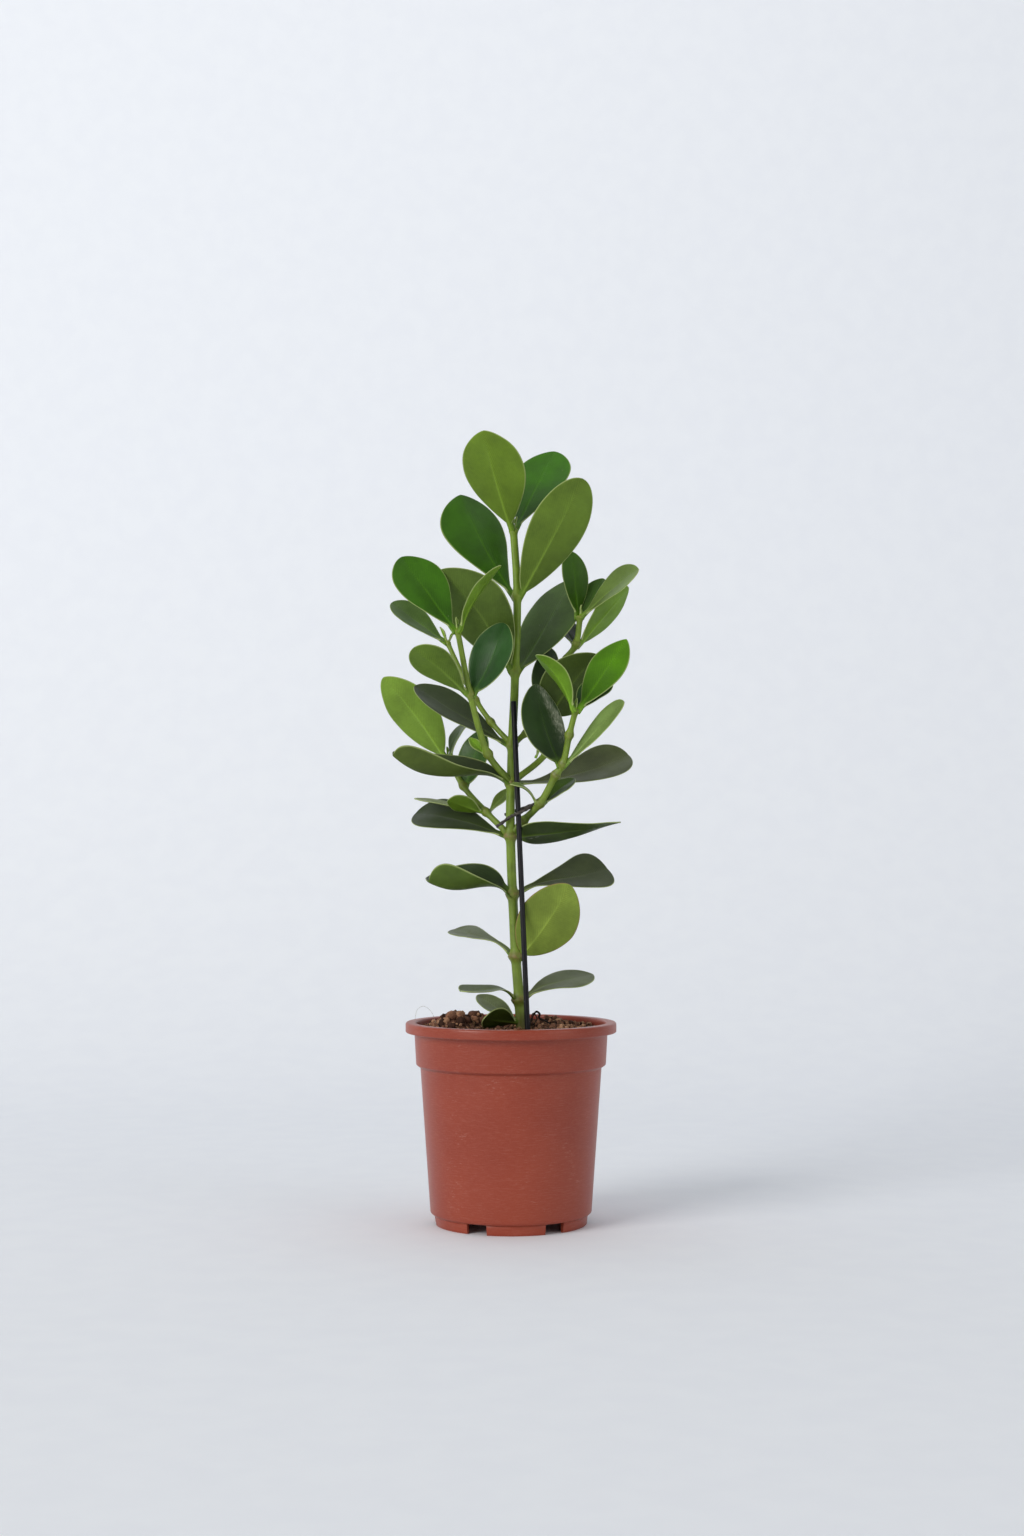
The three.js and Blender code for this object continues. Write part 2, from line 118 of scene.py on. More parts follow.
# ---------- leaves ----------
# Each row: a name, the offset from base to tip and the width. The name says which stem and which of its
# joints the leaf grows from; a stem's first joint above its foot is 1, and the main stem's lowest is 0.
# roll turns the leaf about its length, twist is how much more it turns from base to tip and fold is the
# lift of its halves, in degrees. arch, rise and sway bend the midrib, as shares of the length. widest is
# where along it the leaf is widest, and full is smaller for a blunter outline. top, under and margin are
# 8-bit sRGB colours. wave scales the blade's unevenness. marks are pale places: their place across
# (-1 to 1) and along (0 to 1), and their size. stalk is half the stalk's width.
# Several grey-green top colours are partly painted sheen: they are greyed to stand for light reflected off
# upper faces seen at a grazing angle.
LEAVES = {}
USUAL_LEAF = {
    "roll": 0, "twist": 0, "fold": 10, "arch": 0, "rise": 0, "sway": 0, "widest": 0.6, "full": 0.6,
    "top": (44, 92, 22), "under": (98, 134, 52), "margin": (168, 182, 116), "wave": 0.5, "marks": (),
}
STALK_SHARE = 0.1  # half the stalk's width, as a share of the leaf's width
STALK_LIMIT = 2.8


def leaf(name, tip, width, **look):
    side, *rest = name.split("_")
    if side == "main":
        stem, at = "main_stem", int(rest[0]) + 1
    else:
        stem, at = f"branch_{side}_{rest[0]}", int(rest[1])
    stalk = min(STALK_LIMIT, STALK_SHARE * width)
    row = dict(USUAL_LEAF, stem=stem, at=at, tip=tip, width=width, stalk=stalk)
    LEAVES["leaf_" + name] = dict(row, **look)


leaf("main_9_front", (-22, -43, 71), 56, fold=4, full=0.62, sway=0.02, under=(96, 128, 44))
leaf("main_9_back", (32, 46, 72), 50, roll=12, fold=4, widest=0.66, top=(52, 106, 3))
leaf("main_8_front", (49, -44, 88), 47, roll=-28, fold=4, full=0.5, sway=-0.01,
     under=(94, 124, 52))
leaf("main_8_back", (-45, 47, 91), 56, roll=-20, fold=-8, widest=0.68, sway=-0.03, top=(48, 94, 5))
leaf("main_7_front", (-57, -20, 80), 56, roll=45, fold=4, widest=0.58, sway=-0.07, under=(76, 102, 46))
# painted sheen: this slate top colour stands for the light's reflection on the upper face
leaf("main_7_back", (44, 56, 82), 51, roll=9, fold=0, widest=0.58, sway=0.02, top=(68, 96, 58))
leaf("main_6_left", (-76, 14, 49), 40, roll=-32, widest=0.66, top=(62, 76, 66))
leaf("main_5_left", (-90, -34, 21), 45, roll=-18, twist=66, fold=45, widest=0.68, full=0.42, arch=-0.12,
     rise=0.11, stalk=5, top=(58, 74, 56), under=(72, 92, 44))
# painted sheen: this grey-green top colour stands for the light's reflection on the upper face
leaf("main_5_right", (93, 30, 24), 52, roll=30, fold=8, widest=0.8, full=0.42, arch=-0.06, top=(80, 92, 74))
leaf("main_4_left", (-74, 28, 19), 48, roll=-31, arch=0.05, fold=6, widest=0.76, full=0.42,
     top=(52, 68, 46))
# painted shade: the dark under colour stands for the shadow this underside lies in; the pale marks are real
# specks
leaf("main_4_right", (84, -22, 11), 37, roll=-20, twist=40, arch=-0.02, fold=4, widest=0.38, full=0.55,
     under=(56, 78, 38), marks=((-0.3, 0.13, 0.7), (-0.2, 0.19, 0.5)))
leaf("main_3_left", (-63, -28, 11), 50, roll=-18, twist=96, fold=42, widest=0.66, full=0.38, arch=-0.09,
     rise=0.14, stalk=5, top=(44, 64, 36), under=(76, 102, 46))
leaf("main_3_right", (74, 26, 20), 52, roll=33, rise=0.06, fold=6, widest=0.84, full=0.36, top=(62, 74, 58))
# painted sheen: this grey-green top colour stands for the light's reflection on the upper face
leaf("main_2_left", (-47, 36, 20), 32, roll=-12, arch=0.02, rise=0.08, fold=8, widest=0.84, full=0.42,
     top=(92, 106, 90))
leaf("main_2_right", (39, -16, 58), 49, roll=-60, fold=4, widest=0.5, sway=-0.03, under=(122, 148, 74),
     margin=(150, 118, 78))
# painted sheen: this grey-green top colour stands for the light's reflection on the upper face
leaf("main_1_left", (-43, -30, 9), 26, roll=-12, arch=0.03, rise=0.1, widest=0.74, full=0.5,
     top=(84, 100, 82))
# painted sheen: this grey-green top colour stands for the light's reflection on the upper face
leaf("main_1_right", (57, 32, 18), 32, roll=22, arch=0.03, rise=0.06, fold=4, widest=0.66,
     top=(92, 106, 90))
# painted sheen: this grey-green top colour stands for the light's reflection on the upper face
leaf("main_0_back", (-32, 32, 19), 20, roll=-20, top=(90, 104, 88))
# painted shade: this leaf's dark colours stand for the shadow it lies in near the rim
leaf("main_0_front", (-26, -22, 4), 24, roll=48, under=(46, 62, 18), top=(46, 62, 20))
leaf("left_low_1_front", (-28, -9, 9), 20, roll=40, under=(84, 116, 36))
leaf("left_low_1_back", (18, 14, 20), 12, roll=22, top=(112, 138, 84))
leaf("left_low_1_left", (-56, 12, 11), 16, roll=-10, top=(120, 138, 104), under=(120, 138, 104))
leaf("left_low_2_right", (13, 10, 47), 30, roll=20, widest=0.5, top=(52, 88, 40))
leaf("left_low_3_front", (-50, -17, 65), 42, roll=45, fold=4, widest=0.54, sway=-0.03, under=(110, 146, 62))
leaf("left_low_3_back", (19, 14, 31), 22, roll=-5, arch=0.15, top=(84, 112, 62))
leaf("left_mid_1", (-12, 5, 13), 9, roll=-45, top=(104, 146, 52), under=(110, 150, 60))
leaf("left_mid_2_front", (-41, -28, 34), 33, roll=32, fold=4, widest=0.68, full=0.5, sway=-0.02,
     under=(84, 114, 46))
leaf("left_mid_2_back", (24, 5, 57), 37, roll=50, widest=0.55, full=0.52, sway=0.03, top=(42, 84, 44))
leaf("left_mid_3_back", (-43, 23, 61), 45, roll=-37, fold=6, widest=0.64, top=(58, 108, 22))
leaf("left_mid_3_front", (32, -15, 49), 30, roll=10, arch=0.07, fold=6, under=(104, 144, 48))
# painted sheen: this grey-green top colour stands for the light's reflection on the upper face
leaf("left_top_4", (-44, 6, 33), 32, roll=-35, widest=0.66, full=0.5, top=(84, 116, 70))
# painted sheen: this grey-green top colour stands for the light's reflection on the upper face
leaf("right_low_2_front", (-21, -11, 15), 12, roll=-25, arch=0.15, under=(112, 142, 76), top=(112, 142, 84))
leaf("right_low_2_back", (25, 10, 20), 22, roll=22, arch=0.04, top=(52, 78, 28))
leaf("right_low_4_back", (-19, 9, 65), 42, roll=-27, fold=-2, widest=0.5, full=0.54, sway=-0.05,
     top=(40, 66, 36), marks=((0.62, 0.86, 4), (0.55, 0.72, 3), (0.72, 0.6, 4), (0.8, 0.45, 5)))
# painted sheen: this light grey-green top colour stands for the light's reflection on the upper face
leaf("right_low_4_front", (45, -20, 49), 24, roll=52, widest=0.68, full=0.46, top=(112, 142, 96))
leaf("right_low_6_left", (-29, -13, 42), 28, roll=5, arch=0.1, under=(96, 140, 42))
leaf("right_low_6_right", (39, 22, 58), 32, roll=37, fold=4, widest=0.58, full=0.74, top=(72, 124, 14))
leaf("right_low_6_back", (24, 34, 27), 28, roll=15, top=(32, 80, 14))
leaf("right_mid_5_back", (-5, 4, 54), 29, roll=-12, fold=4, widest=0.62, full=0.52, sway=0.02,
     top=(56, 98, 14))
# painted sheen: this light grey-green top colour stands for the light's reflection on the upper face
leaf("right_mid_5_front", (44, -19, 36), 34, roll=48, fold=12, widest=0.68, full=0.48, sway=-0.04,
     top=(100, 128, 78))
leaf("right_mid_5_rear", (17, 16, 33), 24, roll=12, top=(56, 92, 34))
leaf("right_mid_4_front", (41, 14, 49), 36, roll=-45, fold=4, full=0.54, under=(102, 142, 50))
leaf("right_mid_4_back", (-15, 34, 29), 26, roll=5, top=(50, 72, 56))
leaf("right_top_2_front", (39, -13, 49), 54, roll=-40, fold=4, widest=0.44, sway=0.03, under=(66, 88, 36))
leaf("right_top_2_back", (2, 19, 58), 30, roll=-35, top=(44, 70, 34))


# ---------- helpers ----------
def linear(rgb8):
    """An 8-bit sRGB colour as linear light."""
    shares = (value / 255 for value in rgb8)
    return tuple(s / 12.92 if s <= 0.04045 else ((s + 0.055) / 1.055) ** 2.4 for s in shares)


def placed(name, data):
    """A new object in the scene."""
    made = bpy.data.objects.new(name, data)
    bpy.context.scene.collection.objects.link(made)
    return made


def add_piece(name, points_mm, faces, material, replaces=(), sharp_degrees=None):
    """Makes a mesh object in metres that rides on the plant's only body."""
    mesh = bpy.data.meshes.new(name)
    mesh.from_pydata((np.asarray(points_mm, float) * MM).tolist(), [], faces)
    mesh.update()
    mesh.materials.append(material)
    mesh.shade_smooth()
    if sharp_degrees is not None:
        mesh.set_sharp_from_angle(angle=math.radians(sharp_degrees))
    piece = placed(name, mesh)
    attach(piece, "root")
    if replaces:
        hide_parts(*replaces)
    return piece


def paint(piece, name, colours):
    """Stores one linear colour for each vertex."""
    layer = piece.data.color_attributes.new(name, "FLOAT_COLOR", "POINT")
    rgba = np.ones((len(colours), 4))
    rgba[:, :3] = colours
    layer.data.foreach_set("color", rgba.ravel())


def set_uv(piece, name, uv):
    """Stores one UV pair for each vertex, the same in every face."""
    mesh = piece.data
    layer = mesh.uv_layers.new(name=name)
    index = np.empty(len(mesh.loops), dtype=int)
    mesh.loops.foreach_get("vertex_index", index)
    layer.data.foreach_set("uv", np.asarray(uv, float)[index].ravel())


def ring_faces(rings, sides):
    """Quads between rings of points, and the two end fans round the points after the last ring."""
    faces = []
    for ring in range(rings - 1):
        for side in range(sides):
            a = ring * sides + side
            b = ring * sides + (side + 1) % sides
            faces.append((a, b, b + sides, a + sides))
    first, last = rings * sides, rings * sides + 1
    for side in range(sides):
        following = (side + 1) % sides
        faces.append((first, following, side))
        top = (rings - 1) * sides
        faces.append((last, top + side, top + following))
    return faces


def smooth_line(points, per_span=12):
    """A centripetal Catmull-Rom line through the points, as the CAD's curves are."""
    points = [np.array(point, float) for point in points]
    ends = [2 * points[0] - points[1]] + points + [2 * points[-1] - points[-2]]
    line = []
    for p0, p1, p2, p3 in zip(ends, ends[1:], ends[2:], ends[3:]):
        d0, d1, d2 = (np.linalg.norm(b - a) ** 0.5 for a, b in ((p0, p1), (p1, p2), (p2, p3)))
        m1 = d1 * ((p1 - p0) / d0 - (p2 - p0) / (d0 + d1) + (p2 - p1) / d1)
        m2 = d1 * ((p2 - p1) / d1 - (p3 - p1) / (d1 + d2) + (p3 - p2) / d2)
        for step in range(per_span):
            t = step / per_span
            line.append(
                p1 + m1 * t + (3 * (p2 - p1) - 2 * m1 - m2) * t**2 + (2 * (p1 - p2) + m1 + m2) * t**3
            )
    line.append(points[-1])
    return np.array(line)


def tube(line, radii, sides):
    """Rings of points round a line, with the two end points last."""
    line = np.asarray(line, float)
    along = np.gradient(line, axis=0)
    along /= np.linalg.norm(along, axis=1)[:, None]
    across = np.cross(along[0], (0, 1, 0) if abs(along[0][1]) < 0.9 else (1, 0, 0))
    rings = []
    angles = np.arange(sides) * 2 * math.pi / sides
    for point, direction, radius in zip(line, along, radii):
        across = across - direction * across.dot(direction)
        across /= np.linalg.norm(across)
        other = np.cross(direction, across)
        radius = np.broadcast_to(radius, sides)
        rings.append(
            point + (np.outer(np.cos(angles) * radius, across) + np.outer(np.sin(angles) * radius, other))
        )
    return np.vstack(rings + [line[:1], line[-1:]])


def distances(line):
    """How far along the line each of its points is."""
    return np.concatenate(([0], np.cumsum(np.linalg.norm(np.diff(line, axis=0), axis=1))))


# ---------- materials ----------
# Noise scales and bump distances are per metre and in metres. Painted attributes and the leaf's UV map
# come from the meshes, so a pattern follows its piece.
USUAL_NOISE = (0.3, 0.7)


class Nodes:
    """Adds nodes to a material, in the order that a surface is worked out."""

    def __init__(self, name):
        self.material = bpy.data.materials.new(name)
        self.material.use_nodes = True
        self.tree = self.material.node_tree
        self.shader = self.tree.nodes["Principled BSDF"]

    def link(self, source, target):
        self.tree.links.new(source, target)

    def add(self, kind, **settings):
        node = self.tree.nodes.new(kind)
        for key, value in settings.items():
            setattr(node, key, value)
        return node

    def feed(self, socket, value):
        if isinstance(value, bpy.types.NodeSocket):
            self.link(value, socket)
        else:
            socket.default_value = value

    def math(self, operation, *values, clamp=False):
        node = self.add("ShaderNodeMath", operation=operation, use_clamp=clamp)
        for socket, value in zip(node.inputs, values):
            self.feed(socket, value)
        return node.outputs[0]

    def remap(self, value, low, high, to_low, to_high):
        node = self.add("ShaderNodeMapRange", interpolation_type="SMOOTHSTEP")
        for socket, given in zip(node.inputs, (value, low, high, to_low, to_high)):
            self.feed(socket, given)
        return node.outputs[0]

    def spread(self, noise_value, to_low, to_high):
        """A noise's usual range brought to another one."""
        return self.remap(noise_value, USUAL_NOISE[0], USUAL_NOISE[1], to_low, to_high)

    def above(self, value, low, high):
        """0 below low and 1 above high."""
        return self.remap(value, low, high, 0, 1)

    def times(self, first, second):
        return self.math("MULTIPLY", first, second)

    def plus(self, first, second):
        return self.math("ADD", first, second)

    def mix(self, share, first, second, blend="MIX"):
        node = self.add("ShaderNodeMix", data_type="RGBA", blend_type=blend)
        self.feed(node.inputs["Factor"], share)
        for socket, value in ((node.inputs[6], first), (node.inputs[7], second)):
            self.feed(socket, (*value, 1) if isinstance(value, tuple) and len(value) == 3 else value)
        return node.outputs[2]

    def mix_value(self, share, first, second):
        """A number between two others."""
        node = self.add("ShaderNodeMix", data_type="FLOAT")
        for socket, value in zip(node.inputs[:1] + node.inputs[2:4], (share, first, second)):
            self.feed(socket, value)
        return node.outputs[0]

    def shaded(self, colour, factor):
        """The colour made darker or lighter by a factor."""
        grey = self.add("ShaderNodeCombineColor")
        for socket in grey.inputs:
            self.feed(socket, factor)
        return self.mix(1.0, colour, grey.outputs[0], "MULTIPLY")

    def position(self, stretch=(1, 1, 1)):
        coordinates = self.add("ShaderNodeTexCoord")
        mapping = self.add("ShaderNodeMapping")
        mapping.inputs["Scale"].default_value = stretch
        self.link(coordinates.outputs["Object"], mapping.inputs["Vector"])
        return mapping.outputs[0]

    def noise(self, where, scale, detail=4, roughness=0.5):
        node = self.add("ShaderNodeTexNoise")
        self.link(where, node.inputs["Vector"])
        node.inputs["Scale"].default_value = scale
        node.inputs["Detail"].default_value = detail
        node.inputs["Roughness"].default_value = roughness
        return node.outputs[0]

    def spots(self, where, scale):
        node = self.add("ShaderNodeTexVoronoi")
        self.link(where, node.inputs["Vector"])
        node.inputs["Scale"].default_value = scale
        return node.outputs["Distance"]

    def painted(self, name):
        node = self.add("ShaderNodeVertexColor", layer_name=name)
        return node.outputs["Color"]

    def split(self, colour):
        node = self.add("ShaderNodeSeparateColor")
        self.link(colour, node.inputs[0])
        return node.outputs

    def uv(self, name):
        node = self.add("ShaderNodeUVMap", uv_map=name)
        split = self.add("ShaderNodeSeparateXYZ")
        self.link(node.outputs[0], split.inputs[0])
        return split.outputs[0], split.outputs[1]

    def bump(self, height, distance, strength):
        node = self.add("ShaderNodeBump")
        node.inputs["Strength"].default_value = strength
        node.inputs["Distance"].default_value = distance
        self.feed(node.inputs["Height"], height)
        return node.outputs[0]

    def finish(self, colour, roughness, normal, **constants):
        self.feed(self.shader.inputs["Base Color"], colour)
        self.feed(self.shader.inputs["Roughness"], roughness)
        self.link(normal, self.shader.inputs["Normal"])
        for name, value in constants.items():
            self.shader.inputs[name.replace("_", " ")].default_value = value
        return self.material


UV_SCALE = 0.01  # one UV unit is 100 mm along or across a leaf
VEINS_PER_UNIT = 42
VEIN_SLANT = 1.3


def leaf_material():
    """Painted colours with side veins, a pale margin, blotches and a satin upper face."""
    m = Nodes("clusia_leaf")
    tint = m.painted("tint")
    lines, marked, upper = m.split(m.painted("mask"))[:3]
    where = m.position()
    across, along = m.uv("leaf")
    sideways = m.math("ABSOLUTE", across)
    wander = m.times(m.noise(where, 60, 2), 0.02)
    slanted = m.math("SUBTRACT", along, m.times(sideways, VEIN_SLANT))
    vein_place = m.times(m.plus(slanted, wander), VEINS_PER_UNIT)
    vein_distance = m.math("PINGPONG", vein_place, 0.5)
    veins = m.remap(vein_distance, 0.0, 0.2, 1, 0)
    fade = m.remap(sideways, 0.01, 0.05, 1, 0.35)
    veins = m.times(veins, fade)
    blotches = m.noise(where, 38, 4, 0.6)
    mottle = m.noise(where, 420, 3, 0.6)
    shade = m.spread(blotches, 0.84, 1.16)
    fine = m.spread(mottle, 0.95, 1.05)
    colour = m.shaded(tint, m.times(shade, fine))
    lighter = m.mix(1.0, colour, (1.6, 1.5, 1.5), "MULTIPLY")
    colour = m.mix(m.times(veins, 0.7), colour, lighter)
    colour = m.mix(m.times(lines, 0.9), colour, m.painted("line_tint"))
    streaked = m.above(m.noise(m.position((1, 1, 0.3)), 700, 4, 0.7), 0.44, 0.6)
    scar = m.math("MULTIPLY", marked, m.math("MAXIMUM", streaked, m.times(marked, 0.4)), clamp=True)
    colour = m.mix(m.times(scar, 0.75), colour, linear((168, 172, 150)))
    specks = m.remap(m.spots(where, 130), 0.03, 0.055, 1, 0)
    rare = m.above(m.noise(where, 24, 1), 0.62, 0.68)
    colour = m.mix(m.times(m.times(specks, rare), 0.5), colour, linear((170, 172, 140)))
    satin = m.spread(m.noise(where, 70, 3), 0.3, 0.42)
    dull = m.spread(m.noise(where, 70, 3), 0.46, 0.6)
    roughness = m.mix_value(upper, dull, satin)
    relief = m.plus(m.times(veins, -0.5), m.times(mottle, 0.16))
    relief = m.plus(relief, m.times(m.noise(where, 1500, 2), 0.06))
    return m.finish(colour, roughness, m.bump(relief, 0.00022, 0.7), Specular_IOR_Level=0.22)


def stem_material():
    """Smooth green bark: long streaks, small pores and corky brown rings at the joints."""
    m = Nodes("clusia_stem")
    tint = m.painted("tint")
    ring, brown = m.split(m.painted("mask"))[:2]
    where = m.position()
    long_where = m.position((1, 1, 0.12))
    streaks = m.noise(long_where, 700, 3, 0.6)
    patches = m.noise(where, 90, 4, 0.6)
    shade = m.times(m.spread(streaks, 0.9, 1.08), m.spread(patches, 0.84, 1.14))
    colour = m.shaded(tint, shade)
    cork = m.mix(m.above(m.noise(where, 260, 3), 0.35, 0.65), linear((140, 112, 74)), linear((104, 84, 44)))
    ragged = m.above(m.noise(where, 330, 3, 0.7), 0.38, 0.6)
    colour = m.mix(m.times(brown, m.remap(ragged, 0, 1, 0.35, 1)), colour, cork)
    colour = m.mix(m.times(ring, 0.55), colour, linear((84, 82, 34)))
    pores = m.remap(m.spots(long_where, 520), 0.05, 0.12, 1, 0)
    colour = m.mix(m.times(pores, 0.25), colour, linear((150, 140, 84)))
    roughness = m.spread(patches, 0.4, 0.58)
    relief = m.plus(m.times(streaks, 0.5), m.times(pores, 0.4))
    relief = m.plus(relief, m.times(m.times(brown, ragged), 0.6))
    return m.finish(colour, roughness, m.bump(relief, 0.0002, 0.7), Specular_IOR_Level=0.45)


def pot_material():
    """Injection-moulded plastic: mottled terracotta colour, faint turning lines and scuffs."""
    m = Nodes("terracotta_plastic")
    where = m.position()
    flat = m.position((0.12, 0.12, 1))
    cloud = m.noise(where, 9, 4, 0.55)
    grain = m.noise(where, 900, 2, 0.6)
    base = m.mix(m.above(cloud, 0.35, 0.65), linear((140, 54, 33)), linear((150, 62, 39)))
    colour = m.mix(m.remap(grain, 0.35, 0.65, 0.0, 0.16), base, linear((167, 84, 62)))
    lines = m.noise(flat, 1300, 2, 0.6)
    colour = m.mix(m.remap(lines, 0.45, 0.75, 0, 0.12), colour, linear((196, 130, 112)))
    scuff_area = m.above(m.noise(where, 34, 3, 0.6), 0.56, 0.66)
    scuffs = m.times(scuff_area, m.above(m.noise(m.position((1, 1, 5)), 160, 4, 0.75), 0.56, 0.66))
    colour = m.mix(m.times(scuffs, 0.24), colour, linear((206, 158, 142)))
    dust = m.remap(m.spots(where, 95), 0.02, 0.05, 1, 0)
    rare = m.above(m.noise(where, 17, 1), 0.6, 0.66)
    colour = m.mix(m.times(m.times(dust, rare), 0.7), colour, linear((74, 46, 38)))
    # Painted shade: the pot's inner wall, marked by the mask, is mixed towards a darker red-brown.
    inside = m.split(m.painted("mask"))[0]
    colour = m.mix(m.times(inside, 0.6), colour, linear((124, 48, 34)))
    roughness = m.plus(m.spread(cloud, 0.32, 0.42), m.times(scuffs, 0.15))
    relief = m.plus(m.times(lines, 0.7), m.times(grain, 0.25))
    relief = m.math("SUBTRACT", relief, m.times(scuffs, 0.3))
    return m.finish(colour, roughness, m.bump(relief, 0.00012, 0.5), Specular_IOR_Level=0.42)


def soil_material():
    """Dry crumbs of coir and peat, each crumb painted its own brown."""
    m = Nodes("potting_soil")
    where = m.position()
    rough = m.noise(where, 420, 5, 0.7)
    fine = m.noise(where, 1700, 3, 0.7)
    shade = m.times(m.spread(rough, 0.6, 1.25), m.spread(fine, 0.75, 1.2))
    colour = m.shaded(m.painted("tint"), shade)
    relief = m.plus(rough, m.times(fine, 0.5))
    return m.finish(colour, m.spread(fine, 0.85, 1.0), m.bump(relief, 0.0006, 0.9), Specular_IOR_Level=0.2)


def fibre_material():
    """Tan and grey plant fibres."""
    m = Nodes("coir_fibre")
    where = m.position()
    streaks = m.noise(where, 800, 3, 0.6)
    colour = m.shaded(m.painted("tint"), m.spread(streaks, 0.7, 1.2))
    return m.finish(colour, m.spread(streaks, 0.7, 0.9), m.bump(streaks, 0.0001, 0.6),
                    Specular_IOR_Level=0.25)


def stake_material():
    """Black plastic-coated stake with fine drawn lines and dull rubbed places."""
    m = Nodes("black_stake")
    where = m.position()
    drawn = m.noise(m.position((1, 1, 0.03)), 1500, 3, 0.6)
    rubbed = m.above(m.noise(where, 60, 4, 0.65), 0.5, 0.68)
    colour = m.mix(m.spread(drawn, 0, 0.5), linear((8, 8, 12)), linear((20, 20, 26)))
    colour = m.mix(m.times(rubbed, 0.35), colour, linear((40, 38, 42)))
    roughness = m.plus(m.spread(drawn, 0.36, 0.46), m.times(rubbed, 0.15))
    return m.finish(colour, roughness, m.bump(drawn, 0.00015, 0.5), Specular_IOR_Level=0.3)


def wire_material():
    """Weathered dark coating of a plant tie."""
    m = Nodes("tie_wire")
    where = m.position()
    worn = m.noise(where, 500, 4, 0.65)
    colour = m.mix(m.above(worn, 0.35, 0.65), linear((48, 44, 40)), linear((82, 76, 68)))
    return m.finish(colour, m.spread(worn, 0.5, 0.7), m.bump(worn, 0.0002, 0.6), Specular_IOR_Level=0.4)


# ---------- stems ----------
SWELLING = 0.62  # how much thicker a joint is, as a share of the radius
SWELLING_LENGTH = 3.2
FOOT_SWELLING = 0.35  # the same where a branch leaves the main stem
FOOT_SWELLING_LENGTH = 7
STEM_SIDES = 24
SPAN_STEPS = 22  # rings of points between two pairs of leaves
STEM_END = 0.55  # the last ring's radius, as a share
SOIL_LINE = 158
SOILED_HEIGHT = 14
SCAR_OFFSET = 1.6  # the ring scar's place above a joint
SCAR_WIDTH = 0.5
CORK_LENGTH = 3.2
CORK_OLD, CORK_YOUNG = 0.75, 0.3  # how brown a joint is
OLD_JOINTS = 5  # how many of the main stem's lowest joints are corky
TINT_SPAN = 330  # the height over which a stem turns from old to young
MAIN_OLD_UNTIL, BRANCH_OLD_UNTIL = 170, 300


def stem_radius(radius, places, joints):
    """The radius at each place along a stem, thicker at its joints."""
    even = np.interp(places, (places[0], places[-1]), radius)
    swollen = sum(np.exp(-(((places - joint) / SWELLING_LENGTH) ** 2)) for joint in joints)
    return even * (1 + SWELLING * np.clip(swollen, 0, 1))


def uneven_rings(radii, places, name):
    """The radius all round each ring, a little out of round."""
    phase = random.Random(name).random() * 9
    angles = np.arange(STEM_SIDES) * 2 * math.pi / STEM_SIDES
    rings = []
    for radius, place in zip(radii, places):
        three = 0.03 * np.sin(3 * angles + phase + 0.05 * place)
        five = 0.02 * np.sin(5 * angles - 0.11 * place)
        rings.append(radius * (1 + three + five))
    rings[-1] = rings[-1] * STEM_END
    return rings


def stem_tint(heights, first):
    """Bright shoots, a duller older stem, and brown at the soil."""
    old, young = np.array(linear((110, 132, 42))), np.array(linear((118, 146, 38)))
    share = np.clip((heights - first) / TINT_SPAN, 0, 1)[:, None]
    colour = old * (1 - share) + young * share
    soiled = np.clip((SOIL_LINE + SOILED_HEIGHT - heights) / SOILED_HEIGHT, 0, 1)[:, None] * 0.7
    return colour * (1 - soiled) + np.array(linear((92, 74, 44))) * soiled


def stem_mask(per_point, joints, is_main):
    """The ring scar above each joint, and the cork round it."""
    scar, cork = np.zeros(len(per_point)), np.zeros(len(per_point))
    for index, joint in enumerate(joints):
        gap = per_point - joint
        age = CORK_OLD if is_main and index < OLD_JOINTS else CORK_YOUNG
        scar = np.maximum(scar, np.exp(-(((gap - SCAR_OFFSET) / SCAR_WIDTH) ** 2)))
        cork = np.maximum(cork, age * np.exp(-((gap / CORK_LENGTH) ** 2)))
    return np.stack([scar, cork, np.zeros_like(scar)], 1)


def make_stem(name, material):
    radius, points = STEMS[name]
    is_main = name == "main_stem"
    line = smooth_line(points, SPAN_STEPS)
    places = distances(line)
    joints = [places[i * SPAN_STEPS] for i in range(2 if is_main else 1, len(points))]
    radii = stem_radius(radius, places, joints)
    if not is_main:
        radii = radii * (1 + FOOT_SWELLING * np.exp(-((places / FOOT_SWELLING_LENGTH) ** 2)))
    cloud = tube(line, uneven_rings(radii, places, name), STEM_SIDES)
    cloud[-1] += (line[-1] - line[-2]) * 0.6
    piece = add_piece(name + "_fine", cloud, ring_faces(len(line), STEM_SIDES), material,
                      (name,))
    paint(piece, "tint", stem_tint(cloud[:, 2], MAIN_OLD_UNTIL if is_main else BRANCH_OLD_UNTIL))
    per_point = np.append(np.repeat(places, STEM_SIDES), (places[0], places[-1]))
    paint(piece, "mask", stem_mask(per_point, joints, is_main))


# ---------- leaves ----------
LEAF_ROWS = 46
HALF_ACROSS = (0, 0.018, 0.04, 0.075, 0.13, 0.2, 0.3, 0.41, 0.52, 0.63, 0.73, 0.82, 0.89, 0.945, 0.98, 1)
ACROSS = np.array([-v for v in HALF_ACROSS[:0:-1]] + list(HALF_ACROSS))
AROUND = np.concatenate((ACROSS, ACROSS[-2:0:-1]))  # over the upper face and back under it
IS_UPPER = [1.0] * len(ACROSS) + [0.0] * (len(ACROSS) - 2)
LEAF_GRADE = (0.98, 0.9, 0.55)  # what the rows' face colours are multiplied by
BLADE_THICKNESS = 1.0
BLADE_START = 0.03
STALK_THICKNESS = 2.6
STALK_LENGTH = 0.11  # as a share of the leaf's length
LEAF_CLEARANCE = 0.8
ROOTED = 3.4  # how far a leaf's stalk reaches into its stem
FOLD_CURVE = 1.5
RISE_SCALE = 9.48  # makes 1 the top of the rise's curve
EDGE_WOBBLE = 0.02
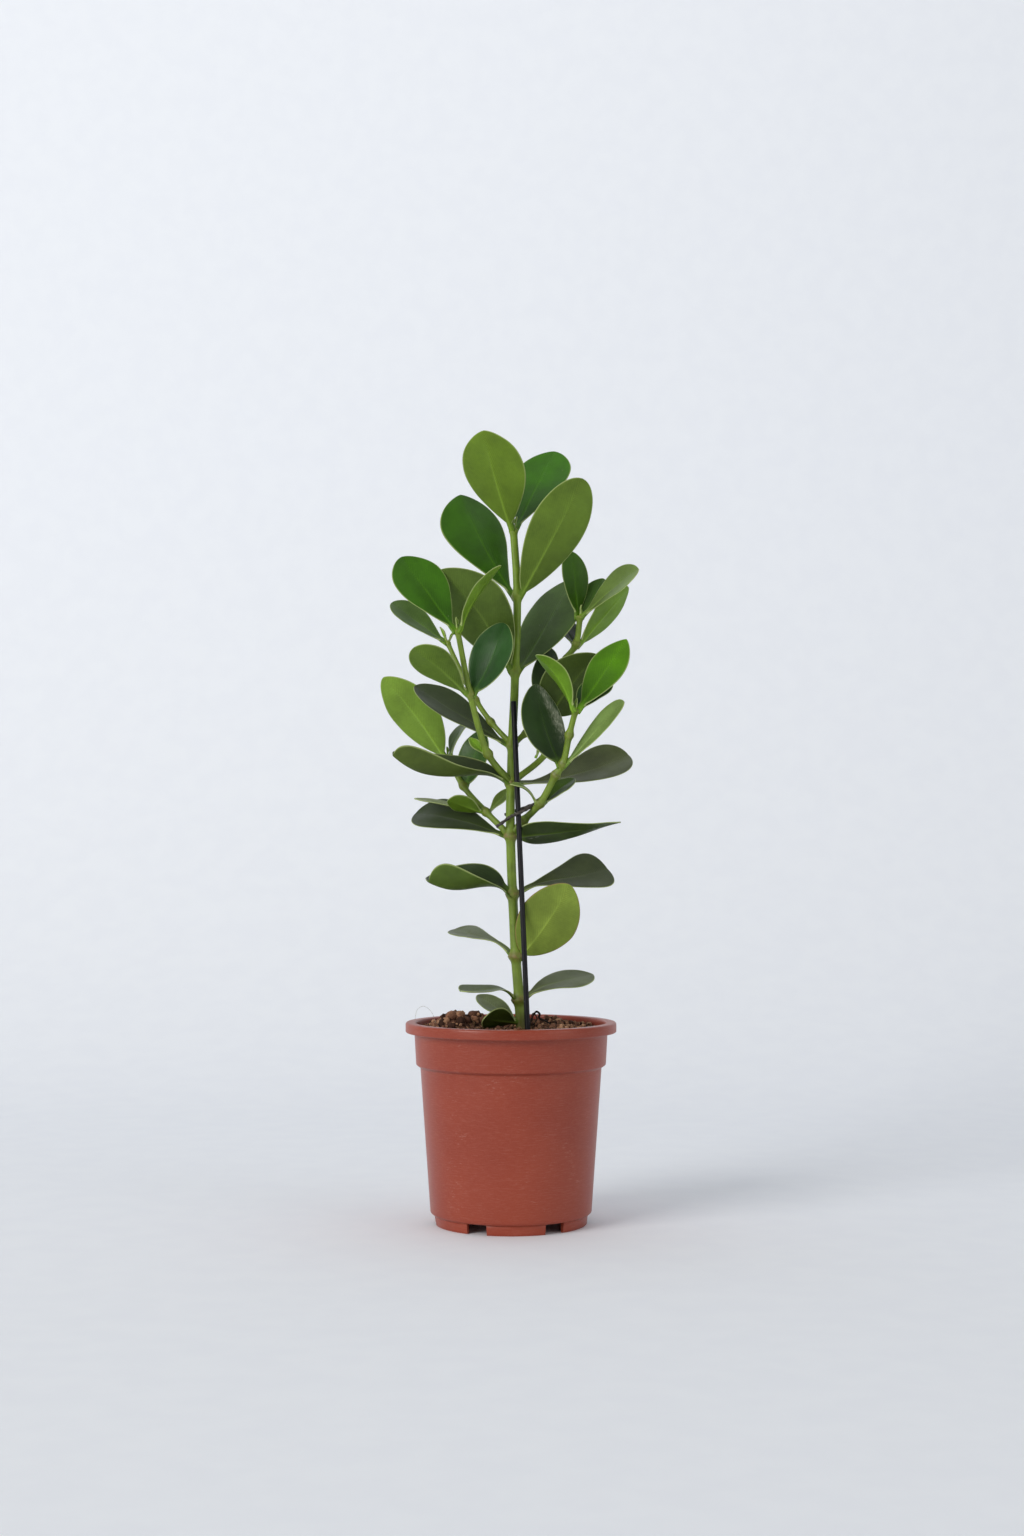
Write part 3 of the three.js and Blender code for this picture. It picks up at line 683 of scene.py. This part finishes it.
WAVE_HEIGHT, RIPPLE_HEIGHT = 1.6, 0.35
GROOVE_DEPTH, GROOVE_WIDTH = 0.3, 0.8  # the midrib seen from above
RIDGE_HEIGHT, RIDGE_WIDTH = 0.85, 1.0  # the midrib seen from below
RIB_END = 0.88  # where along the leaf the midrib ends
LINE_END = 0.86
MARGIN_WIDTH = 0.9


def unit(vector):
    return vector / np.linalg.norm(vector)


def leaf_base(row):
    radius, points = STEMS[row["stem"]]
    thickness = radius[0] + (radius[1] - radius[0]) * row["at"] / (len(points) - 1)
    outward = unit(np.array((row["tip"][0], row["tip"][1], 0.0)))
    return np.array(points[row["at"]], float) + outward * (thickness + LEAF_CLEARANCE)


def half_width(t, row):
    blade = np.clip((t - BLADE_START) / (1 - BLADE_START), 0, 1)
    shape = np.sin(math.pi * blade ** (math.log(0.5) / math.log(row["widest"])))
    stalk = row["stalk"] * (1 - max(t, 0) ** 3)
    return max(row["width"] / 2 * max(shape, 0) ** row["full"], stalk)


def leaf_directions(t, chord, row):
    """Across the leaf and up from its upper face."""
    angle = math.radians(row["roll"] + row["twist"] * (t - 0.5))
    up = unit(np.array((0, 0, 1.0)) - chord * chord[2])
    across = np.cross(chord, up)
    return across * math.cos(angle) - up * math.sin(angle), up * math.cos(angle) + across * math.sin(angle)


def leaf_midrib(t, inside, row, base):
    """The midrib's point, and the directions across the leaf and up from it."""
    tip = np.array(row["tip"], float)
    length = np.linalg.norm(tip)
    chord = tip / length
    across, up = leaf_directions(0.5, chord, row)
    bow = 4 * inside * (1 - inside)
    lift = row["arch"] * bow + row["rise"] * RISE_SCALE * inside * (1 - inside) ** 3
    middle = base + tip * t + up * lift * length + across * row["sway"] * bow * length
    return middle, *leaf_directions(t, chord, row)


def leaf_section(t, row, base, seed):
    """One ring of points round the leaf, the midrib's point and half the ring's width."""
    inside = min(max(t, 0), 1)
    middle, across, up = leaf_midrib(t, inside, row, base)
    width = half_width(t, row) if t < 1 else 0
    fold = math.radians(row["fold"])
    wobble = 1 + EDGE_WOBBLE * noise.noise(Vector((t * 5, seed, 0)))
    fade = min(1, max(0, inside * 6)) * min(1, (1 - inside) * 9)
    stalk = math.exp(-((inside / STALK_LENGTH) ** 2))
    stalk_thickness = min(STALK_THICKNESS, 0.16 * row["width"] + 0.8)
    half = (BLADE_THICKNESS + (stalk_thickness - BLADE_THICKNESS) * stalk) / 2
    rib = max(0, 1 - inside / RIB_END) ** 0.8
    upper, lower = [], []
    for v in ACROSS:
        side = v * width * wobble
        wave = noise.noise(Vector((t * 3.1, v * width / row["width"] * 2.8, seed))) * WAVE_HEIGHT
        ripple = noise.noise(Vector((t * 8, v * 2.4, seed + 7))) * RIPPLE_HEIGHT * v**2
        lifted = abs(v) ** FOLD_CURVE * width * math.sin(fold) + (wave + ripple) * row["wave"] * fade
        centre = middle + across * side * math.cos(fold) + up * lifted
        roundness = math.sqrt(max(0, 1 - v**10))
        groove = GROOVE_DEPTH * rib * math.exp(-((side / GROOVE_WIDTH) ** 2)) * (1 - stalk)
        ridge = RIDGE_HEIGHT * rib * math.exp(-((side / RIDGE_WIDTH) ** 2)) * (1 - 0.5 * stalk)
        upper.append(centre + up * (half * roundness - groove))
        lower.append(centre - up * (half * roundness + ridge))
    return upper + lower[-2:0:-1], middle, width


def leaf_palette(row):
    """Linear colours of the under and upper face, each with its midrib's colour."""
    top, under = (np.array(linear(row[face])) * LEAF_GRADE for face in ("top", "under"))
    return ((under, np.clip(under * 1.5 + (0.05, 0.07, 0.01), 0, 1)),
            (top, np.clip(top * 1.9 + (0.03, 0.045, 0.0), 0, 1)))


def leaf_look(v, upper, inside, width, row, palette, seed):
    """The tint, line tint and mask of one point of a leaf."""
    face, rib_colour = palette[int(upper)]
    distance = abs(v) * width
    rib = max(0, 1 - inside / LINE_END) ** 0.7
    patch = noise.noise(Vector((inside * 2.2, v * 1.3, seed + 3)))
    # Random patches, darker towards the base and a little lighter towards the tip.
    base_to_tip_tone = 1 + 0.16 * patch - 0.22 * (1 - inside) ** 2 + 0.08 * inside
    sap = (1 - min(1, inside / 0.1)) * 0.6
    tint = face * base_to_tip_tone * (1 - sap) + np.array(linear((116, 152, 46))) * sap
    line = math.exp(-((distance / (0.45 + 0.7 * rib)) ** 2)) * rib * (0.55 if upper else 1)
    edge = max(0, 1 - (width - distance) / MARGIN_WIDTH) ** 0.6 if inside > 0.05 else 0
    line_tint = np.array(linear(row["margin"])) if edge > line else rib_colour
    marked = 0
    if upper or row["stem"] == "main_stem":
        half_length = np.linalg.norm(row["tip"]) / 2
        marked = sum(math.exp(-(((v - mv) * width) ** 2 + ((inside - mt) * half_length) ** 2) / size**2)
                     for mv, mt, size in row["marks"])
    return tint, line_tint, (max(line, edge), min(1, marked), upper)


def make_leaf(name, row, base, material, replaces=(), rooted=ROOTED):
    seed = random.Random(name).random() * 50
    length = np.linalg.norm(row["tip"])
    steps = (1 - np.cos(math.pi * np.linspace(0, 1, LEAF_ROWS))) / 2
    along = np.concatenate(([-rooted / length, -rooted / length / 2], steps))[:-1]
    palette = leaf_palette(row)
    cloud, looks, uv = [], [], []
    for t in along:
        ring, _, width = leaf_section(t, row, base, seed)
        inside = min(max(t, 0), 1)
        cloud += ring
        looks += [leaf_look(v, is_upper, inside, width, row, palette, seed)
                  for v, is_upper in zip(AROUND, IS_UPPER)]
        uv += [(v * width * UV_SCALE, inside * length * UV_SCALE) for v in AROUND]
    start = leaf_section(along[0], row, base, seed)[1]
    tip = leaf_section(1.0, row, base, seed)[0][len(ACROSS) // 2]
    cloud += [start, tip]
    looks += [(*palette[1], (0, 0, 1))] * 2
    uv += [(0, 0), (0, length * UV_SCALE)]
    faces = [face[::-1] for face in ring_faces(len(along), len(AROUND))]
    piece = add_piece(name, cloud, faces, material, replaces)
    tint, line_tint, mask = zip(*looks)
    paint(piece, "tint", np.clip(tint, 0, 1))
    paint(piece, "line_tint", np.clip(line_tint, 0, 1))
    paint(piece, "mask", mask)
    set_uv(piece, "leaf", uv)


BUDS = {  # the stem and its point, an offset from that point, tip offset and width, in millimetres
    "bud_apex_left": ("main_stem", 10, (0, 0, 1), (-1.5, -1.5, 11), 3.6),
    "bud_apex_right": ("main_stem", 10, (1, 1, 1), (2, 1.5, 9), 3.2),
    "bud_left_top_front": ("branch_left_top", 4, (0, 0, 0), (-6, -3, 12), 5),
    "bud_left_top_back": ("branch_left_top", 4, (1, 0, 0), (5, 3, 9), 4),
    "bud_left_mid_spike": ("branch_left_mid", 3, (0, 0, 1), (-1, 1, 9), 2.8),
    "bud_right_mid_low": ("branch_right_mid", 1, (-9, -4, -4), (4, -2, 9), 4.5),
    "bud_right_low_end": ("branch_right_low", 6, (0, 0, 1), (1, 1, 8), 3),
    "bud_left_low_end": ("branch_left_low", 3, (0, 0, 1), (-1, 1, 8), 3),
    "bud_right_mid_end": ("branch_right_mid", 5, (0, 0, 1), (1, 0, 8), 3),
    "bud_right_top_end": ("branch_right_top", 2, (0, 0, 1), (2, 1, 7), 3),
}


def make_buds(material):
    """The small folded leaves at the ends of the shoots."""
    for name, (stem, at, offset, tip, width) in BUDS.items():
        row = dict(USUAL_LEAF, stem=stem, at=at, tip=tip, width=width, stalk=0.8, fold=28, full=0.9, wave=0.1,
                   top=(116, 158, 52), under=(118, 158, 60))
        base = np.array(STEMS[stem][1][at], float) + offset
        make_leaf(name, row, base, material, rooted=1.5)


# ---------- pot ----------
POT_SEGMENTS = 168
LONGEST_STEP = 2.0  # longest straight stretch of the turned outline
LIP_EDGE, LIP_ROUND, LIP_INNER_ROUND = 0.9, 1.7, 1.6
NOTCH_DEPTH = 6  # on each side of the foot's outer radius
DRAIN_SIDES = 24
SHARP_ANGLE = 42


def arc(centre, radius, start, end, steps=5):
    """Points of a round edge in a profile, angles in degrees from outward towards up."""
    angles = np.radians(np.linspace(start, end, steps))
    return [(centre[0] + radius * math.cos(a), centre[1] + radius * math.sin(a)) for a in angles]


def near(place, *offsets):
    """Points at small offsets from a place on the outline."""
    return [(place[0] + across, place[1] + up) for across, up in offsets]


def pot_profile():
    """The pot's wall as a closed outline of radius and height, from the underside outwards."""
    foot_inside = FOOT_RADIUS - FOOT_WALL
    outside = [(0, FLOOR_UNDERSIDE), (foot_inside, FLOOR_UNDERSIDE)]
    outside += near((foot_inside, 0), (0, 0.4), (0.4, 0)) + near((FOOT_RADIUS, 0), (-0.5, 0), (0, 0.5))
    outside += near(FOOT_TOP, (-0.7, -0.9), (-1, 0), (0.4, 0.5))
    outside += near(BODY_FOOT, (-0.25, -0.6), (0, 0.4))
    outside += near(BODY_TOP, (-0.05, -1.2), (0, -0.4), (0.35, 0))
    outside += near(COLLAR_FOOT, (-0.5, -0.6), (-0.1, -0.1), (0, 0.5), (0.05, 1.3))
    outside += near(COLLAR_TOP, (-0.1, -0.8), (0.6, 0))
    lip = arc((LIP_RADIUS - LIP_EDGE, LIP_BOTTOM + LIP_EDGE), LIP_EDGE, -90, 0)
    lip += arc((LIP_RADIUS - LIP_ROUND, LIP_TOP - LIP_ROUND), LIP_ROUND, 0, 90)
    lip_inside = COLLAR_TOP[0] - POT_WALL + LIP_INNER_ROUND
    lip += arc((lip_inside, LIP_TOP - LIP_INNER_ROUND), LIP_INNER_ROUND, 90, 180)
    inside = near(COLLAR_FOOT, (-POT_WALL, 0)) + near(BODY_TOP, (-POT_WALL, 0))
    inside += [(BODY_FOOT[0] - POT_WALL, FLOOR_UNDERSIDE + POT_WALL), (0, FLOOR_UNDERSIDE + POT_WALL)]
    return outside + lip + inside


def denser(profile):
    """The same outline with long straight stretches split."""
    result = [profile[0]]
    for start, end in zip(profile, profile[1:]):
        pieces = max(1, math.ceil(math.dist(start, end) / LONGEST_STEP))
        result += [
            (start[0] + (end[0] - start[0]) * i / pieces, start[1] + (end[1] - start[1]) * i / pieces)
            for i in range(1, pieces + 1)
        ]
    return result


def turned(profile, segments):
    """A closed lathe shape whose profile starts and ends on the Z axis."""
    angles = np.arange(segments) * 2 * math.pi / segments
    rings = [
        np.stack([np.sin(angles) * radius, -np.cos(angles) * radius, np.full(segments, height)], 1)
        for radius, height in profile[1:-1]
    ]
    cloud = np.vstack(rings + [np.array([[0, 0, profile[0][1]]]), np.array([[0, 0, profile[-1][1]]])])
    return cloud, ring_faces(len(rings), segments)


def around(count, first):
    """Rotations about the pot's axis, the angle measured from the front towards +X."""
    return [Matrix.Rotation(math.radians(first + 360 / count * i), 3, "Z") for i in range(count)]


def notch_box(turn):
    """The corners and faces of one notch's cutter."""
    half, height = NOTCH["width"] / 2, NOTCH["height"]
    square = ((-half, -NOTCH_DEPTH), (half, -NOTCH_DEPTH), (half, NOTCH_DEPTH), (-half, NOTCH_DEPTH))
    corners = [turn @ Vector((x, y - FOOT_RADIUS, z)) for z in (-height, height) for x, y in square]
    return corners, [(3, 2, 1, 0), (4, 5, 6, 7), (0, 1, 5, 4), (1, 2, 6, 5), (2, 3, 7, 6), (3, 0, 4, 7)]


def drain_rod(turn):
    """The points and faces of one drainage hole's cutter."""
    points = []
    for z in (FLOOR_UNDERSIDE - 4, FLOOR_UNDERSIDE + 6):
        for i in range(DRAIN_SIDES):
            angle = 2 * math.pi * i / DRAIN_SIDES
            x, y = math.cos(angle) * DRAIN["radius"], math.sin(angle) * DRAIN["radius"] - DRAIN["ring"]
            points.append(turn @ Vector((x, y, z)))
    sides = range(DRAIN_SIDES)
    faces = [tuple(reversed(sides)), tuple(DRAIN_SIDES + i for i in sides)]
    faces += [(i, (i + 1) % DRAIN_SIDES, DRAIN_SIDES + (i + 1) % DRAIN_SIDES, DRAIN_SIDES + i) for i in sides]
    return points, faces


def pot_cutters():
    """Boxes for the foot's notches and rods for the drainage holes, as one mesh."""
    points, faces = [], []
    shapes = [notch_box(turn) for turn in around(NOTCH["count"], NOTCH["first"])]
    shapes += [drain_rod(turn) for turn in around(DRAIN["count"], DRAIN["first"])]
    for its_points, its_faces in shapes:
        faces += [tuple(len(points) + i for i in face) for face in its_faces]
        points += [tuple(point) for point in its_points]
    mesh = bpy.data.meshes.new("cutter")
    mesh.from_pydata((np.asarray(points) * MM).tolist(), [], faces)
    return placed("cutter", mesh)


def bake_modifiers(piece):
    """Applies a piece's modifiers to its mesh."""
    graph = bpy.context.evaluated_depsgraph_get()
    made = bpy.data.meshes.new_from_object(piece.evaluated_get(graph))
    piece.modifiers.clear()
    old = piece.data
    piece.data = made
    bpy.data.meshes.remove(old)


def inner_wall_shade(x, y, z):
    """1 on the inner face of the pot's wall, which is painted darker as shade, 0 outside, on the lip and in
    the foot.
    """
    if not BODY_FOOT[1] + POT_WALL < z < LIP_TOP - 2:
        return 0.0
    low, high = (BODY_FOOT, BODY_TOP) if z < BODY_TOP[1] else (COLLAR_FOOT, COLLAR_TOP)
    outer = np.interp(z, (low[1], high[1]), (low[0], high[0]))
    return 1.0 if math.hypot(x, y) < outer - POT_WALL / 2 else 0.0


def make_pot(material):
    cloud, faces = turned(denser(pot_profile()), POT_SEGMENTS)
    piece = add_piece("pot_fine", cloud, faces, material, ("pot",))
    tool = pot_cutters()
    boolean = piece.modifiers.new("cuts", "BOOLEAN")
    boolean.operation = "DIFFERENCE"
    boolean.solver = "EXACT"
    boolean.object = tool
    bake_modifiers(piece)
    bpy.data.objects.remove(tool)
    mesh = piece.data
    mesh.shade_smooth()
    mesh.set_sharp_from_angle(angle=math.radians(SHARP_ANGLE))
    paint(piece, "mask", [(inner_wall_shade(*(vertex.co / MM)), 0, 0) for vertex in mesh.vertices])


# ---------- soil ----------
SOIL_RINGS = 52
SOIL_SEGMENTS = 180
SOIL_GAP = 1.8  # from the pot's outer face to the soil
CRUMBS = 3000
FIBRES = 260
CRUMB_BROWNS = ((158, 114, 88), (138, 98, 76), (118, 82, 64), (92, 62, 48), (176, 134, 104), (66, 44, 34))
FIBRE_TANS = ((164, 130, 96), (140, 106, 76), (186, 156, 120), (96, 66, 46), (60, 40, 30))
ROUND_STEMS = ((7.9, 2, 4.4), (13.3, -16.8, 2.4))  # stem and stake at the soil: middle x and y, radius
# Single strands: points of the line, steps, radius, first and last angle of the taper, sides, colour.
STRANDS = (
    ([(15, -6, 157), (17, -7, 165), (20.5, -8, 170), (23, -8, 168), (22.5, -7, 165), (26, -6, 163),
      (30, -5, 161), (33, -4, 158)], 6, 0.95, (0.35, 2.9), 8, (34, 24, 20)),
    ([(17, -4, 158), (21, -2, 164), (18, 0, 168), (15.5, 1, 164)], 6, 0.6, (0.4, 2.9), 8, (40, 28, 22)),
    ([(-60, -8, 160), (-64, -10, 170), (-70, -11, 174.5), (-75, -12, 172), (-77, -12, 164)],
     10, 0.13, (math.pi / 2, math.pi / 2), 5, (188, 184, 176)),
)


def soil_height(x, y):
    mounds = sum(h * math.exp(-((x - mx) ** 2 + (y - my) ** 2) / s**2) for mx, my, s, h in SOIL_MOUNDS)
    rolling = 1.2 * math.sin(0.21 * x + 1) * math.cos(0.17 * y)
    lumps = 1.5 * noise.noise(Vector((x * 0.16, y * 0.16, 2)))
    lumps += 0.8 * noise.noise(Vector((x * 0.5, y * 0.5, 5)))
    return SOIL_LEVEL + mounds + rolling + lumps


def make_soil_bed(material):
    """The soil's body, with a lumpy top and its side against the pot."""
    radii = [SOIL_RADIUS * (1 - i / SOIL_RINGS) for i in range(1, SOIL_RINGS)]
    profile = [(0, SOIL_BOTTOM), (BODY_FOOT[0] - SOIL_GAP, SOIL_BOTTOM)]
    profile += near(BODY_TOP, (-SOIL_GAP, 0)) + near(COLLAR_FOOT, (-SOIL_GAP, 0))
    profile += [(SOIL_RADIUS, SOIL_LEVEL - 2)]
    profile += [(radius, SOIL_LEVEL) for radius in radii] + [(0, SOIL_LEVEL)]
    cloud, faces = turned(profile, SOIL_SEGMENTS)
    for i in np.nonzero(np.abs(cloud[:, 2] - SOIL_LEVEL) < 0.01)[0]:
        cloud[i, 2] = soil_height(cloud[i, 0], cloud[i, 1]) - 1.0
    piece = add_piece("soil_bed", cloud, faces, material, ("potting_soil",))
    dark = np.array(linear((70, 46, 36)))
    warm = np.array(linear((136, 96, 74)))
    shares = [0.5 + 0.5 * noise.noise(Vector((p[0] * 0.4, p[1] * 0.4, 9))) for p in cloud]
    paint(piece, "tint", [dark + (warm - dark) * max(0, s) * 0.7 for s in shares])


def crumb_shape():
    """A unit icosphere's points and faces."""
    ball = bmesh.new()
    bmesh.ops.create_icosphere(ball, subdivisions=2, radius=1)
    points = np.array([v.co[:] for v in ball.verts])
    faces = np.array([[v.index for v in f.verts] for f in ball.faces])
    ball.free()
    return points, faces


def clear_of_stems(x, y, reach):
    return all(math.hypot(x - middle_x, y - middle_y) >= radius + reach * 0.6
               for middle_x, middle_y, radius in ROUND_STEMS)


def crumb(shape, randomness):
    """One crumb's points, or None where it would reach past the soil or into a stem."""
    angle = randomness.uniform(0, 2 * math.pi)
    distance = (SOIL_RADIUS - 1.5) * math.sqrt(randomness.random())
    x, y = math.sin(angle) * distance, -math.cos(angle) * distance
    height = soil_height(x, y)
    mound = max(0.0, min(1.0, (height - SOIL_LEVEL) / 9))
    size = 0.45 + 0.9 * randomness.random() ** 2 + (2.4 * randomness.random() ** 4) * (0.35 + mound)
    if distance + size > SOIL_RADIUS or not clear_of_stems(x, y, size):
        return None
    turn_angle = randomness.uniform(0, 6.28)
    turn = Matrix.Rotation(turn_angle, 3, Vector((randomness.random(), randomness.random(), 0.4)))
    stretch = np.array([randomness.uniform(0.7, 1.3) for _ in range(3)])
    seed = randomness.uniform(0, 90)
    bulge = np.array([1 + 0.5 * noise.noise(Vector(p * 1.7 + seed)) for p in shape])
    return (shape * bulge[:, None] * stretch * size) @ np.array(turn) + (x, y, height + size * 0.25)


def make_crumbs(material):
    """Loose crumbs and clods, many small ones and few large, thickest on the mounds."""
    randomness = random.Random(SEED)
    shape, faces = crumb_shape()
    clouds, all_faces, tints = [], [], []
    browns = [linear(colour) for colour in CRUMB_BROWNS]
    for _ in range(CRUMBS):
        points = crumb(shape, randomness)
        if points is None:
            continue
        all_faces.append(faces + len(shape) * len(clouds))
        clouds.append(points)
        colour = np.array(randomness.choice(browns)) * randomness.uniform(0.8, 1.2)
        tints.append(np.tile(colour, (len(shape), 1)))
    piece = add_piece("soil_crumbs", np.vstack(clouds), np.vstack(all_faces).tolist(), material)
    paint(piece, "tint", np.vstack(tints))


def strand(start, heading, length, radius, randomness, lift):
    """A thin wandering thread lying on the soil."""
    x, y = start
    line = []
    steps, sides, curl = 8, 5, 0.6
    for step in range(steps):
        share = step / (steps - 1)
        line.append((x, y, soil_height(x, y) + 0.8 + lift * math.sin(math.pi * share)))
        heading += randomness.uniform(-curl, curl)
        x += math.cos(heading) * length / steps
        y += math.sin(heading) * length / steps
    line = smooth_line(line, 3)
    radii = radius * (1 - 0.5 * np.linspace(0, 1, len(line)))
    return tube(line, radii, sides), ring_faces(len(line), sides)


def make_fibres(material):
    """Coir fibres, and a curled dry strip, a twig and a hair that stand out of the soil."""
    randomness = random.Random(SEED + 1)
    clouds, faces, tints = [], [], []
    tans = [linear(colour) for colour in FIBRE_TANS]

    def keep(cloud, its_faces, colour):
        start = sum(len(c) for c in clouds)
        clouds.append(cloud)
        faces.extend(tuple(start + i for i in face) for face in its_faces)
        tints.append(np.tile(np.array(colour), (len(cloud), 1)))

    for _ in range(FIBRES):
        angle = randomness.uniform(0, 2 * math.pi)
        distance = (SOIL_RADIUS - 12) * math.sqrt(randomness.random())
        start = (math.sin(angle) * distance, -math.cos(angle) * distance)
        heading, length, radius = (randomness.uniform(*ends) for ends in ((0, 6.28), (4, 13), (0.12, 0.3)))
        lift = randomness.uniform(0, 1.6)
        cloud, its_faces = strand(start, heading, length, radius, randomness, lift)
        if np.hypot(cloud[:, 0], cloud[:, 1]).max() < SOIL_RADIUS - 0.5:
            keep(cloud, its_faces, randomness.choice(tans))
    for points, steps, radius, taper, sides, colour in STRANDS:
        line = smooth_line(points, steps)
        radii = radius * np.sin(np.linspace(*taper, len(line)))
        keep(tube(line, radii, sides), ring_faces(len(line), sides), linear(colour))
    piece = add_piece("soil_fibres", np.vstack(clouds), faces, material)
    paint(piece, "tint", np.vstack(tints))


# ---------- stake and wire ----------
STAKE_SIDES, STAKE_STEPS = 28, 60
STAKE_CAP = 0.35  # height of the worn edge at the stake's top
WIRE_SIDES = 12
WIRE_TWIST = 0.55  # radians for each millimetre
WIRE_FLATNESS = 0.14


def make_stake(material):
    top, foot = np.array(STAKE_TOP), np.array(STAKE_FOOT)
    shares = np.linspace(0, 1, STAKE_STEPS)
    line = foot + (top - foot) * shares[:, None]
    line = np.vstack([line, top + (top - foot) / np.linalg.norm(top - foot) * STAKE_CAP])
    radii = STAKE_RADIUS * np.append(1 + 0.012 * np.sin(shares * 40), 0.78)
    faces = ring_faces(len(line), STAKE_SIDES)
    cloud = tube(line, radii, STAKE_SIDES)
    add_piece("support_stake_fine", cloud, faces, material, ("support_stake",), 40)


def make_wire(material):
    """The tie, a little flattened and twisted along its length."""
    line = smooth_line(WIRE_ROUTE)
    angles = np.arange(WIRE_SIDES) * 2 * math.pi / WIRE_SIDES
    radii = [WIRE_RADIUS * (1 + WIRE_FLATNESS * np.cos(2 * (angles - place * WIRE_TWIST)))
             for place in distances(line)]
    faces = ring_faces(len(line), WIRE_SIDES)
    add_piece("tie_wire_fine", tube(line, radii, WIRE_SIDES), faces, material, ("tie_wire",), 50)


# ---------- stage ----------
def backdrop_material():
    m = Nodes("pale_paper")
    grain = m.noise(m.position(), 30, 2)
    colour = m.mix(m.spread(grain, 0, 1), (0.85, 0.875, 0.925), (0.865, 0.89, 0.935))
    return m.finish(colour, 0.9, m.bump(grain, 0.0001, 0.2))


def make_backdrop():
    """A pale floor that curves up into the background."""
    front, back, bend, top, half = -3.0, 1.6, 0.9, 3.2, 3.5
    outline = [(front, 0.0), (back - bend, 0.0)]
    outline += arc((back - bend, bend), bend, math.degrees(0.1) - 90, 0, 14)
    outline.append((back, top))
    mesh = bpy.data.meshes.new("backdrop")
    points = [(x, y, z) for y, z in outline for x in (-half, half)]
    faces = [(2 * i, 2 * i + 1, 2 * i + 3, 2 * i + 2) for i in range(len(outline) - 1)]
    mesh.from_pydata(points, [], faces)
    mesh.materials.append(backdrop_material())
    mesh.shade_smooth()
    placed("backdrop", mesh)


def area_light(name, place, target, size, power, colour):
    light = bpy.data.lights.new(name, "AREA")
    light.shape = "RECTANGLE"
    light.size, light.size_y = size
    light.energy = power
    light.color = colour
    made = placed(name, light)
    made.location = place
    made.rotation_euler = (Vector(target) - Vector(place)).to_track_quat("-Z", "Y").to_euler()


PLANT_MIDDLE = (0, 0, 0.3)
SKY_COLOUR = (0.97, 0.985, 1.0)
SKY_STRENGTH = 0.42


def make_lights():
    area_light("key", (-3.75, -3.6, 2.4), PLANT_MIDDLE, (2.8, 2.8), 178, (1.0, 0.985, 0.95))
    area_light("fill", (2.4, -1.6, 0.9), PLANT_MIDDLE, (1.4, 1.4), 10, (1.0, 0.98, 0.96))
    area_light("backdrop_light", (0, 0.2, 2.4), (0, 1.6, 0.8), (3.0, 0.8), 5.5, SKY_COLOUR)
    world = bpy.data.worlds.new("studio")
    world.use_nodes = True
    background = world.node_tree.nodes["Background"]
    background.inputs["Color"].default_value = (*SKY_COLOUR, 1)
    background.inputs["Strength"].default_value = SKY_STRENGTH
    bpy.context.scene.world = world


CAMERA_DISTANCE = 1.729
CAMERA_HEIGHT = 0.2992
CAMERA_PITCH = math.radians(2.22)
CAMERA_SIDE = 0.0008


def make_camera():
    camera = bpy.data.cameras.new("camera")
    camera.lens = 50
    camera.sensor_width = 36
    made = placed("camera", camera)
    made.location = (CAMERA_SIDE, -CAMERA_DISTANCE, CAMERA_HEIGHT)
    made.rotation_euler = (math.pi / 2 + CAMERA_PITCH, 0, 0)
    bpy.context.scene.camera = made


# ---------- the object ----------
make_camera()
make_lights()
make_backdrop()
bpy.context.scene.view_settings.view_transform = "Standard"

make_pot(pot_material())
soil = soil_material()
make_soil_bed(soil)
make_crumbs(soil)
make_fibres(fibre_material())
make_stake(stake_material())
make_wire(wire_material())
stem = stem_material()
for stem_name in STEMS:
    make_stem(stem_name, stem)
leaf_surface = leaf_material()
for leaf_name, leaf_row in LEAVES.items():
    make_leaf(leaf_name + "_fine", leaf_row, leaf_base(leaf_row), leaf_surface, (leaf_name,))
make_buds(leaf_surface)
